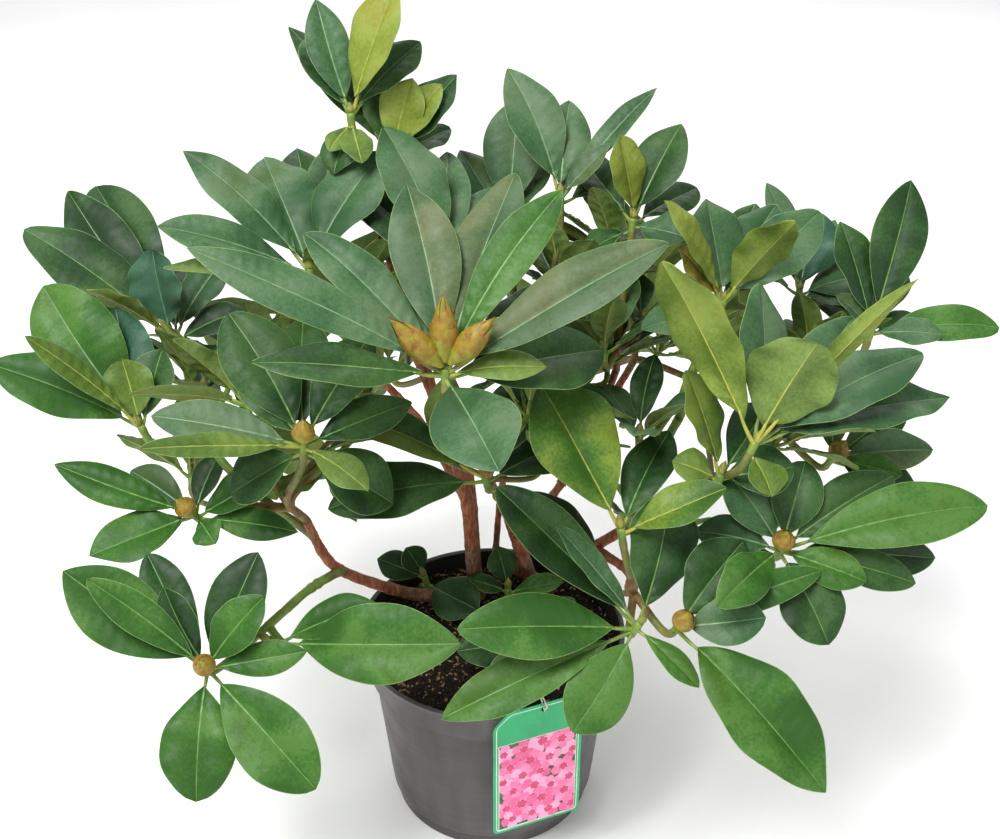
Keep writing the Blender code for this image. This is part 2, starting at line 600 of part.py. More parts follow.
def make_tag(collection):
    half = TAG_WIDTH / 2
    outline = (
        (-half, -TAG_HEIGHT), (half, -TAG_HEIGHT), (half, -TAG_TRIM), (half - TAG_TRIM, 0),
        (-half + TAG_TRIM, 0), (-half, -TAG_TRIM))
    curve = bpy.data.curves.new("tag", "CURVE")
    curve.dimensions = "2D"
    curve.fill_mode = "BOTH"
    curve.extrude = TAG_THICKNESS / 2
    edge = curve.splines.new("POLY")
    edge.points.add(len(outline) - 1)
    for point, (across, rise) in zip(edge.points, outline):
        point.co = (across, rise, 0, 1)
    edge.use_cyclic_u = True
    hole = curve.splines.new("POLY")
    hole_sides = 10
    hole.points.add(hole_sides - 1)
    for i, point in enumerate(hole.points):
        turn = 2 * math.pi * i / hole_sides
        point.co = (TAG_HOLE_SHIFT + TAG_HOLE_RADIUS * math.cos(turn),
                    -TAG_HOLE_DROP + TAG_HOLE_RADIUS * math.sin(turn), 0, 1)
    hole.use_cyclic_u = True
    guide = bpy.data.objects.new("tag_guide", curve)
    bpy.context.scene.collection.objects.link(guide)
    guide.rotation_euler = (math.pi / 2, 0, TAG_TURN)
    guide.location = tag_place(0, TAG_TOP, TAG_THICKNESS / 2)
    bpy.context.view_layer.update()
    mesh = bpy.data.meshes.new_from_object(guide.evaluated_get(bpy.context.evaluated_depsgraph_get()))
    mesh.transform(guide.matrix_world)
    bm = bmesh.new()
    bm.from_mesh(mesh)
    bmesh.ops.remove_doubles(bm, verts=bm.verts, dist=0.01 * MM)
    bmesh.ops.recalc_face_normals(bm, faces=bm.faces)
    bm.to_mesh(mesh)
    bm.free()
    bpy.data.objects.remove(guide)
    tag = bpy.data.objects.new("tag", mesh)
    bpy.context.scene.collection.objects.link(tag)
    finish(tag, collection, (0.05, 0.45, 0.2), 0.4)


def make_tag_loop(collection):
    """The label's tie: round the back of the front shoot's stem, over the label, and through its hole."""
    shoot = twig_path(*shoot_ends(BASAL_SHOOTS[-1]))
    stem, upward = along(shoot, LOOP_SHARE)
    hole = tag_place(TAG_HOLE_SHIFT, TAG_TOP - TAG_HOLE_DROP, TAG_THICKNESS / 2)
    out = Vector((math.sin(TAG_TURN), -math.cos(TAG_TURN), 0))
    up = Vector((0, 0, 1))
    seat = hole + up * (TAG_HOLE_RADIUS - LOOP_RADIUS - 3 * GAP)
    pull = (hole - stem).normalized()
    pull = (pull - upward * pull.dot(upward)).normalized()
    across = upward.cross(pull)
    turn = SHOOT_RADIUS + LOOP_RADIUS + 2 * GAP
    points = []
    for k in range(LOOP_TURN_STEPS + 1):
        angle = math.pi * k / LOOP_TURN_STEPS
        points.append(stem + across * turn * math.cos(angle) - pull * turn * math.sin(angle))
    over_label = hole + up * (TAG_HOLE_DROP + LOOP_RISE)
    before_label = hole + up * TAG_HOLE_DROP / 2 + out * (LOOP_STANDOFF + 1 * MM)
    points += [over_label, before_label, seat + out * LOOP_STANDOFF, seat, seat - out * LOOP_STANDOFF]
    ring = [points[-1], *points, points[0], points[1]]
    path = smooth_path(ring, 2)[2:-4]
    loop = tube("tag_loop", path, [LOOP_RADIUS] * len(path), 0, closed=True)
    finish(loop, collection, (0.75, 0.75, 0.7), 0.5)


# ---- Stems and boughs ----------------------------------------------------------------------------
def fork_start(parent_path, parent_radius, share, radius, aim):
    """Where a bough's flat base lies clear of the limb that it springs from."""
    place, direction = along(parent_path, share)
    outward = (aim - place).normalized()
    cosine = abs(outward.dot(direction))
    sine = math.sqrt(1 - cosine * cosine)
    return place + outward * (parent_radius * FLAT_SIDE + GAP + radius * cosine) / sine


def limb_radius(base, tip, share, height_above_soil):
    """The limb's radius: an even taper, and a flare within a few millimetres of the soil."""
    flare = FLARE * base * math.exp(-height_above_soil / FLARE_HEIGHT)
    return base + (tip - base) * share + flare


def make_limbs(collection):
    """Make every limb and return its path and tip radius by name."""
    limbs = {}
    for name, parent, share, base, tip, way in LIMBS:
        points = [Vector(point) * MM for point in way]
        base *= MM
        tip *= MM
        if parent == "soil":
            points[0].z = SOIL_TOP + GAP
        else:
            parent_path, parent_base, parent_tip = limbs[parent]
            parent_radius = parent_base + (parent_tip - parent_base) * share
            points.insert(0, fork_start(parent_path, parent_radius, share, base, points[0]))
        path = smooth_path(points, 3)
        if parent == "soil":
            path.insert(1, path[0] + Vector((0, 0, UPRIGHT_FOOT)))
        radii = []
        for i, place in enumerate(path):
            height = place.z - SOIL_TOP if parent == "soil" else FAR_ABOVE_SOIL
            radii.append(limb_radius(base, tip, i / (len(path) - 1), height))
        thing = tube(name, path, radii, 2 if base > STOUT_RADIUS else 1)
        finish(thing, collection, OLD_BARK if parent == "soil" else YOUNG_BARK, 0.7)
        limbs[name] = (path, base, tip)
    return limbs


# ---- Foliage -------------------------------------------------------------------------------------
def tree_of_object(thing):
    """The search tree of an object's evaluated faces."""
    bm = bmesh.new()
    bm.from_object(thing, bpy.context.evaluated_depsgraph_get())
    tree = BVHTree.FromBMesh(bm)
    bm.free()
    return tree


def is_clear(bm, others):
    tree = BVHTree.FromBMesh(bm)
    return not any(tree.overlap(other) for other in others)


def leaf_headings(axis, rows):
    """Each leaf's heading, length and width, as given or by the golden turn round the bud."""
    if len(rows[0]) == 4:
        return rows
    count, size, first = rows[0]
    leaves = []
    across = axis.orthogonal().normalized()
    over = axis.cross(across)
    for i in range(count):
        turn = math.radians(first) + i * GOLDEN_TURN
        spread = math.radians(OUTER_SPREAD - INNER_CLOSING * i / count)
        aim = axis * math.cos(spread) + (across * math.cos(turn) + over * math.sin(turn)) * math.sin(spread)
        lean = math.degrees(math.asin(max(-1, min(1, aim.dot(TOWARD)))))
        bearing = math.degrees(math.atan2(aim.dot(UPWARD), aim.dot(RIGHT)))
        length = size * (1 - INNER_SHORTENING * i / count)
        leaves.append((bearing, lean, length, length * RULE_WIDTH))
    return leaves


def leaf_face(direction, axis, facing):
    """The way a leaf's upper side looks: as its bud does, with the nearer side turned to the front."""
    face = (axis - direction * axis.dot(direction)).normalized()
    nearer = 1 if face.dot(TOWARD) >= 0 else -1
    return face + TOWARD * nearer * facing


def grow_leaf(site, axis, row, by_rule, obstacles):
    """The leaf at the first of a few nudged headings in which it touches nothing; None if there is none."""
    bearing, lean, length, width = row
    stations = PLAIN_STATIONS if by_rule or length < SMALL_LEAF else LEAF_STATIONS
    for turn, tip_over in NUDGES:
        direction = heading(bearing + turn, lean + tip_over)
        root = site - axis * LEAF_ZONE * (1 - direction.dot(axis)) / 2
        tip = site + direction * length * MM
        face = leaf_face(direction, axis, 0 if by_rule else FACING)
        tester = leaf(root, tip, face, width * MM, stations, 0.5 * MM)
        touching = not is_clear(tester, obstacles)
        tester.free()
        if not touching:
            return leaf(root, tip, face, width * MM, stations)
    return None


def grow_twigs(name, start, direction, radius, whorls):
    """A mass's stem and its twigs, one to each whorl, as separate solids that share a fork."""
    pieces = []
    sites = [Vector(whorl[0]) * MM for whorl in whorls]
    fork = start
    fork_direction = direction
    forks = len(sites) > 1
    if forks:
        middle = sum(sites, Vector()) / len(sites)
        fork = start + direction * 2 * STUB + (middle - start) * FORK_SHARE
        fork_direction = (middle - fork).normalized()
        path = [start, start + direction * STUB, fork, fork + fork_direction * radius]
        pieces.append(tube(name + "_stem", path, [radius] * len(path), 0))
    for site, (_, bud_heading, _, _) in zip(sites, whorls):
        path = twig_path(fork, fork_direction, site, heading(*bud_heading), flat_start=not forks)
        last = len(path) - 1
        radii = [radius + (TWIG_TIP_RADIUS - radius) * i / last for i in range(last + 1)]
        pieces.append(tube(name + "_twig", path, radii, 0))
    return pieces


def grow_buds(name, site, bud_heading, size):
    """The bud of one whorl, or three buds side by side where it is a big one."""
    length, bud_radius = size
    pieces = []
    for turn in (BIG_BUD_TURNS if size == BIG_BUD else (0,)):
        aim = heading(bud_heading[0] + turn, bud_heading[1])
        root = site - aim * bud_radius * BUD_SINK * MM
        pieces.append(object_from(bud(root, aim, length * MM, bud_radius * MM), name + "_bud"))
    return pieces


def grow_mass(name, twigs, whorls, obstacles, collection):
    """Grow the buds and leaves on one mass's twigs and return the tree of its finished solid."""
    pieces = list(twigs)
    for place, bud_heading, bud_size, rows in whorls:
        site = Vector(place) * MM
        axis = heading(*bud_heading)
        if bud_size:
            pieces += grow_buds(name, site, bud_heading, bud_size)
        by_rule = len(rows[0]) == 3
        for row in leaf_headings(axis, rows):
            blade = grow_leaf(site, axis, row, by_rule, obstacles)
            if blade:
                pieces.append(object_from(blade, name + "_leaf"))
    mass = union(name, pieces[0], pieces[1:])
    finish(mass, collection, (0.07, 0.2, 0.07), 0.45)
    return tree_of_object(mass)


def shoot_ends(shoot):
    """Where a basal shoot's stem starts and how it heads, and its bud's place and heading."""
    _, (x, y), whorls = shoot
    site, bud_heading, _, _ = whorls[0]
    return (Vector((x * MM, y * MM, SOIL_TOP + GAP)), Vector((0, 0, 1)), Vector(site) * MM,
            heading(*bud_heading))


def grow_foliage(collection, limbs):
    """Grow all the twigs first, so that no leaf grows through another mass's twig."""
    obstacles = [tree_of_object(thing) for thing in collection.objects]
    twigs = {}
    for name, limb, whorls in MASSES:
        path, _, tip = limbs[limb]
        direction = (path[-1] - path[-2]).normalized()
        start = path[-1] + direction * GAP
        twigs[name] = grow_twigs(name, start, direction, min(tip, TWIG_RADIUS), whorls)
    for shoot in BASAL_SHOOTS:
        name, _, whorls = shoot
        start, upright, _, _ = shoot_ends(shoot)
        twigs[name] = grow_twigs(name, start, upright, SHOOT_RADIUS, whorls)
    twig_trees = {name: [tree_of_object(twig) for twig in pieces] for name, pieces in twigs.items()}
    for name, _, whorls in MASSES + BASAL_SHOOTS:
        others = [tree for other, trees in twig_trees.items() if other != name for tree in trees]
        obstacles.append(grow_mass(name, twigs[name], whorls, obstacles + others, collection))


def main():
    clear_scene()
    part = new_collection("potted_rhododendron")
    cutters = new_collection("cutters")
    make_pot(part, cutters)
    make_soil(part)
    make_tag(part)
    make_tag_loop(part)
    limbs = make_limbs(part)
    grow_foliage(part, limbs)


main()
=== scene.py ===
"""The looks of the potted rhododendron: leaves, buds, bark, soil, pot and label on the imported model."""
import random
from math import asin, atan2, cos, degrees, exp, hypot, pi, radians, sin, sqrt, tau

import bmesh
import bpy
from mathutils import Matrix, Quaternion, Vector, noise
from mathutils.bvhtree import BVHTree


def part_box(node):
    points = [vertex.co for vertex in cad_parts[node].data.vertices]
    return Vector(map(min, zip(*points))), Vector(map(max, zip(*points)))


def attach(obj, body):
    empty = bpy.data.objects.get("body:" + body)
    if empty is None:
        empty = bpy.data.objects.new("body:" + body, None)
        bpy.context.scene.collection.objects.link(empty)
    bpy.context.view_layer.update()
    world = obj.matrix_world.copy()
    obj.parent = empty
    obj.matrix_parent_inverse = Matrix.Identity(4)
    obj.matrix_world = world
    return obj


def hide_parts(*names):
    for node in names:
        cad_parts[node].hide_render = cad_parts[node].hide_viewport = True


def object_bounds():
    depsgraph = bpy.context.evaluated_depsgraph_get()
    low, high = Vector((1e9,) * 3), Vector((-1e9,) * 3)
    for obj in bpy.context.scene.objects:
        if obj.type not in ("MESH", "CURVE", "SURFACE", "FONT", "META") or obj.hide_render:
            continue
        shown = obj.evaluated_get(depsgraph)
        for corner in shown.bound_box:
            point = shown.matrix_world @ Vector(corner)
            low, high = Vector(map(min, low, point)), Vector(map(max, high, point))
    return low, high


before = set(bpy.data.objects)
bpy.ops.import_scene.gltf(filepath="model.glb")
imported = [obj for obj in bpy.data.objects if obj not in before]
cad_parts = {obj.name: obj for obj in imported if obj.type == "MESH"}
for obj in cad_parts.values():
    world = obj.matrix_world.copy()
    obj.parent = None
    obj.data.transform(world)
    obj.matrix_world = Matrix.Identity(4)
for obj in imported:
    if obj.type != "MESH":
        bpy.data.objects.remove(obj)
cad_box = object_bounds()

MM = 0.001
UP = Vector((0, 0, 1))
RANDOM_SEED = 7

# ---- Camera, light and floor ----
CAMERA_PLACE = (0.007, -0.9185, 0.9235)
CAMERA_PITCH = radians(30.9)  # below the horizon
CAMERA_LENS = 50  # mm, as is the sensor's width
SENSOR_WIDTH = 36
FLOOR_SIZE = 40  # metres
SKY_STRENGTH = 0.5
AIM = Vector((0, 0, 0.35))
LIGHTS = (  # name, place, power in watts, size in metres
    ("key_light", (-0.9, -1.2, 2.8), 105, 1.3),
    ("fill_light", (2.0, -1.6, 1.4), 14, 2.2),
    ("back_light", (0.2, 2.2, 2.4), 40, 2.2),
)

# ---- Pot and soil, as in the solid model ----
GAP = 0.3 * MM
POT_HEIGHT = 170 * MM
RIM_RADIUS = 112.5 * MM
BAND_HEIGHT = 32 * MM
COLLAR = POT_HEIGHT - BAND_HEIGHT  # height of the step under the rim's band
BAND_FOOT_RADIUS = 105.5 * MM
WALL_TOP_RADIUS = 101 * MM
WALL_FOOT_RADIUS = 88.5 * MM
FOOT_RADIUS = 85 * MM
FOOT_HEIGHT = 14 * MM
WALL = 2 * MM
DRAIN_COUNT = 6
DRAIN_RADIUS = 6 * MM
DRAIN_RING_RADIUS = 66 * MM
LIP_ROUND = 1.4 * MM
STEP_ROUND = 1.2 * MM
BASE_ROUND = 1.5 * MM
POT_SEGMENTS = 144
DENT = 0.0012  # how far the pot is from round, over its radius
BEAD_HEIGHT = 30 * MM  # where a raised bead runs round the wall
WALL_ROWS = 40
SOIL_TOP = 156 * MM
SOIL_RADIUS = 105.5 * MM
SOIL_RINGS = 56
SOIL_SEGMENTS = 160
SOIL_ROUGHNESS = ((2.6 * MM, 38), (1.1 * MM, 160), (0.6 * MM, 520))  # height and pitch of each lump
GRAIN_COUNT = 4200
GRAIN_SIZES = (0.5, 1.35)  # before they are raised to the power below, in mm
GRAIN_POWER = 1.7
GRAIN_LENGTHS = (1, 1, 1.3, 1.8, 3.2)
GRAIN_LOOKS = ("grain_dark",) * 5 + ("grain_brown",) * 2 + ("grain_tan",) * 2 + ("grain_pale",)

# ---- Label and tie, as in the solid model ----
TAG_WIDTH = 76 * MM
TAG_HEIGHT = 128 * MM
TAG_THICKNESS = 0.8 * MM
TAG_TOP = 180 * MM
TAG_TRIM = 13 * MM
TAG_TURN = radians(22)
TAG_SHIFT = -6 * MM
TAG_CLEAR = 0.4 * MM
TAG_HOLE_RADIUS = 2.6 * MM
TAG_HOLE_DROP = 6 * MM
TAG_HOLE_SHIFT = 5 * MM
TAG_CORNER = 5 * MM
TAG_EDGE_ROUND = 0.12 * MM
TAG_BORDER = 2.4 * MM  # between the label's edge and its pale line
LINE_WIDTH = 0.7 * MM
PICTURE_HALF_WIDTH = 33 * MM
PICTURE_TOP = -33 * MM  # from the label's top
PICTURE_BOTTOM = -124 * MM
PICTURE_LINE = 0.6 * MM
PRINT_STEP = 0.03 * MM  # each printed layer lies this far in front of the last
PRINTED_LEAVES = 26
BLOSSOM_ROWS = 6
BLOSSOM_COLUMNS = 4
BLOSSOM_STEP = (17 * MM, 15 * MM)  # across and down
BLOSSOM_JITTER = 3  # mm
BLOSSOM_SIZES = (10.5, 13.5)  # a petal's length in mm
PETALS = 5
EYE_SHARE = 0.36  # of a petal's length is flushed darker
STAMENS = 6
STAMEN_RADIUS = 0.42 * MM
LOOP_RADIUS = 0.6 * MM
LOOP_SHARE = 0.3
LOOP_TURN_STEPS = 9

# ---- Growth, as in the solid model ----
EYE_DOWN = radians(31)
RIGHT = Vector((1, 0, 0))
UPWARD = Vector((0, sin(EYE_DOWN), cos(EYE_DOWN)))
TOWARD = Vector((0, -cos(EYE_DOWN), sin(EYE_DOWN)))
PETIOLE_SHARE = 0.13
ROOT_DEPTH = 2.2 * MM
LEAF_ARCH = 0.045
LEAF_ZONE = 11 * MM
FACING = 0.9
GOLDEN_TURN = radians(137.5)
RULE_SPREAD = (82, 40)  # degrees from the bud's axis, and how much less at the last leaf
RULE_SHRINK = 0.25
RULE_WIDTH = 0.33
TWIG_RADIUS = 3.3 * MM
TWIG_TIP_RADIUS = 2.7 * MM
SHOOT_RADIUS = 2.2 * MM
STUB = 1.5 * MM
FORK_SHARE = 0.2
FLAT_SIDE = 0.96
NUDGES = ((0, 0), (5, 0), (-5, 0), (0, 7), (0, -7), (7, 7), (-7, -7), (7, -7), (-7, 7), (0, 14), (0, -14))
TIP_MATCH = 0.6 * MM  # how near the solid leaf's tip a leaf's tip must lie
SETTLE = (0, 2, -2, 4, -4, 6, -6, 8)  # degrees that a leaf may tip over to clear its neighbours
CROWDED_SHARE = 0.2  # of a leaf's rows: so near the bud the leaves may touch
FINE_TWIG_RADIUS = 2.6 * MM
FINE_TWIG_TIP_RADIUS = 2.1 * MM
REACH_MARGIN = 4 * MM  # a finer leaf stays so far inside the boxes of the masses

# ---- Fine leaf ----
ROW_LENGTH = 2.3 * MM
LEAST_ROWS = 14
MOST_ROWS = 64
ROW_SPREAD = 1.05  # above 1, the rows lie closer together near the petiole
LEAF_COLUMNS = (0.12, 0.4, 0.7)  # between the midrib and the pale margin, on each side
RIB_HALF_WIDTH = 0.55 * MM
RIB_SINK = 0.3 * MM
MARGIN_WIDTH = 0.42 * MM
LEAST_HALF_WIDTH = 0.25 * MM
SHEET_THICKNESS = 0.6 * MM
BROADER = 1.08  # fine leaves over the solid's faceted ones
VEIN_PERIOD = 9.5 * MM  # between two side veins
VEIN_SLANT = 0.75  # how far a vein runs forward on its way out, over the half width
VEIN_DEPTH = 0.8 * MM
PETIOLE_RADIUS = 1.9 * MM
PETIOLE_TIP_RADIUS = 0.95 * MM
PETIOLE_STEPS = 8
PETIOLE_BEND = 0.012  # over the leaf's length
PETIOLE_SIDES = 8
LEAF_SHAPE = (  # what each leaf's own shape is drawn from, in this order
    (0.5, 0.62),  # where along the blade it is widest
    (0.75, 0.95),  # lower is fuller toward the petiole
    (0.56, 0.85),  # lower is blunter toward the tip
    (0.10, 0.32),  # how far the halves fold up
    (0.04, 0.12),  # how far each half bulges
    (0.02, 0.16),  # how far the edge curls down
    (0.01, 0.05),  # height of the waves along the edge
    (1.6, 3.2),  # number of waves
    (0, tau),  # where the waves start
    (-0.025, 0.025),  # sideways sweep
    (-0.22, 0.22),  # twist toward the tip
    (-0.35, 0.5),  # how far the arch leans to the tip
    (-0.06, 0.06),  # bank to one side
)

# ---- Buds ----
# The size of a whorl's flower buds: length and radius in mm.
BIG_BUD = (48, 9)
MID_BUD = (20, 8)
BIG_BUD_TURNS = (0, 48, -46)
BIG_BUD_STANDOFF = 5 * MM  # how far a big bud's foot stands off its whorl's middle
TIP_LENGTHS = (9, 14)  # in mm, of the growing point of a whorl that has no flower bud
TIP_RADIUS = 2.9 * MM
BUD_ROWS = 12
BUD_SIDES = 14
SMALL_BUD = 4 * MM  # thinner buds have fewer scales
SMALL_BUD_SCALES = 8
BIG_BUD_SCALES = 10
SCALE_STEPS = 7
CORE_WIDTH = 0.92  # over the bud's, under the scales
SCALE_LIFT = 0.25 * MM
SCALE_RANGES = (  # for the lowest scale, and how much more for the highest
    (-0.04, 0.5),  # where its foot lies along the bud
    (0.6, 0.44),  # where its tip lies
    (1.4, -0.4),  # half the angle that it wraps
)
FLUSH_ROW = 3  # from this row up a scale is flushed, and its last row is its rim

# ---- Stems and boughs ----
LIMB_STEP = 2.6 * MM
SUNK = 5 * MM  # how deep a stem's foot stands in the soil
SCAR_COUNT = 6
FLARE = (0.45, 0.35)  # over the base radius, where a stem meets the soil and a bough its stem
SCAR_RING = 0.38 * MM
BARK_LUMPS = (0.35 * MM, 60)  # height and pitch
BARK_GRAIN = (0.12 * MM, 1300)
CRACK_DEPTH = 0.3 * MM
CRACK_PITCH = (900, 900, 130)  # cracks run along the stem
CRACK_SHARE = 0.25
SMOOTH_STEPS = 16  # along a limb, between two way points
SOLID_STEPS = 3  # the same in the solid model
TWIG_STEPS = 14
TWIG_RING = 0.35 * MM
TWIG_SWELL = 0.5 * MM
TWIG_GRAIN = (0.16 * MM, 420)
TWIG_SIDES = 12
LIMB_SIDES = 24
# name, the limb it springs from and how far up that, base and tip radius, way points; all in mm.
LIMBS = (
    ("main_stem", "soil", 0, 6.6, 4.4,
     ((-15, 60, 156), (-17, 50, 205), (-21, 36, 276), (-38, 34, 350), (-56, 28, 412))),
    ("top_bough", "main_stem", 0.72, 3.8, 3.3, ((-66, 72, 430), (-90, 86, 505))),
    ("back_left_bough", "main_stem", 0.5, 4.2, 3.3, ((-58, 92, 312), (-105, 135, 345))),
    ("thin_stem", "soil", 0, 3.0, 2.8, ((2, 97, 156), (8, 90, 245), (22, 84, 328))),
    ("front_stem", "soil", 0, 5.9, 4.6, ((36, 72, 156), (20, 43, 233), (10, 8, 290), (5, -4, 306))),
    ("right_stem", "soil", 0, 5.4, 3.6,
     ((48, 58, 156), (62, 44, 197), (92, 20, 243), (125, -10, 290), (155, -42, 340))),
    ("front_right_bough", "right_stem", 0.45, 4.0, 3.3, ((108, -40, 258), (104, -88, 276))),
    ("right_low_bough", "right_stem", 0.72, 3.6, 3.3, ((158, -52, 306), (184, -82, 320))),
    ("far_right_bough", "right_stem", 0.6, 4.0, 3.3, ((160, 4, 290), (208, 26, 322))),
    ("right_upper_bough", "right_stem", 0.66, 4.0, 3.6, ((124, 2, 322), (146, 4, 374))),
    ("upper_right_stem", "soil", 0, 4.0, 3.0,
     ((24, 94, 156), (48, 80, 240), (80, 62, 310), (100, 58, 385))),
    ("back_right_bough", "upper_right_stem", 0.45, 3.6, 3.3, ((92, 104, 312), (120, 150, 335))),
    ("back_stem", "soil", 0, 4.6, 3.4, ((-14, 84, 156), (-18, 112, 226), (-28, 158, 300))),
    ("left_stem", "soil", 0, 5.6, 3.7,
     ((-48, 52, 156), (-77, 34, 180), (-119, -4, 229), (-134, -15, 255), (-144, -30, 300))),
    ("low_left_bough", "left_stem", 0.55, 3.9, 3.3, ((-142, -58, 254), (-157, -100, 264))),
    ("far_left_bough", "left_stem", 0.9, 3.5, 3.3, ((-172, -32, 318), (-199, -29, 346))),
)
# The boughs whose bark is still green.
GREEN_LIMBS = ("right_upper_bough", "right_low_bough", "far_left_bough", "low_left_bough")

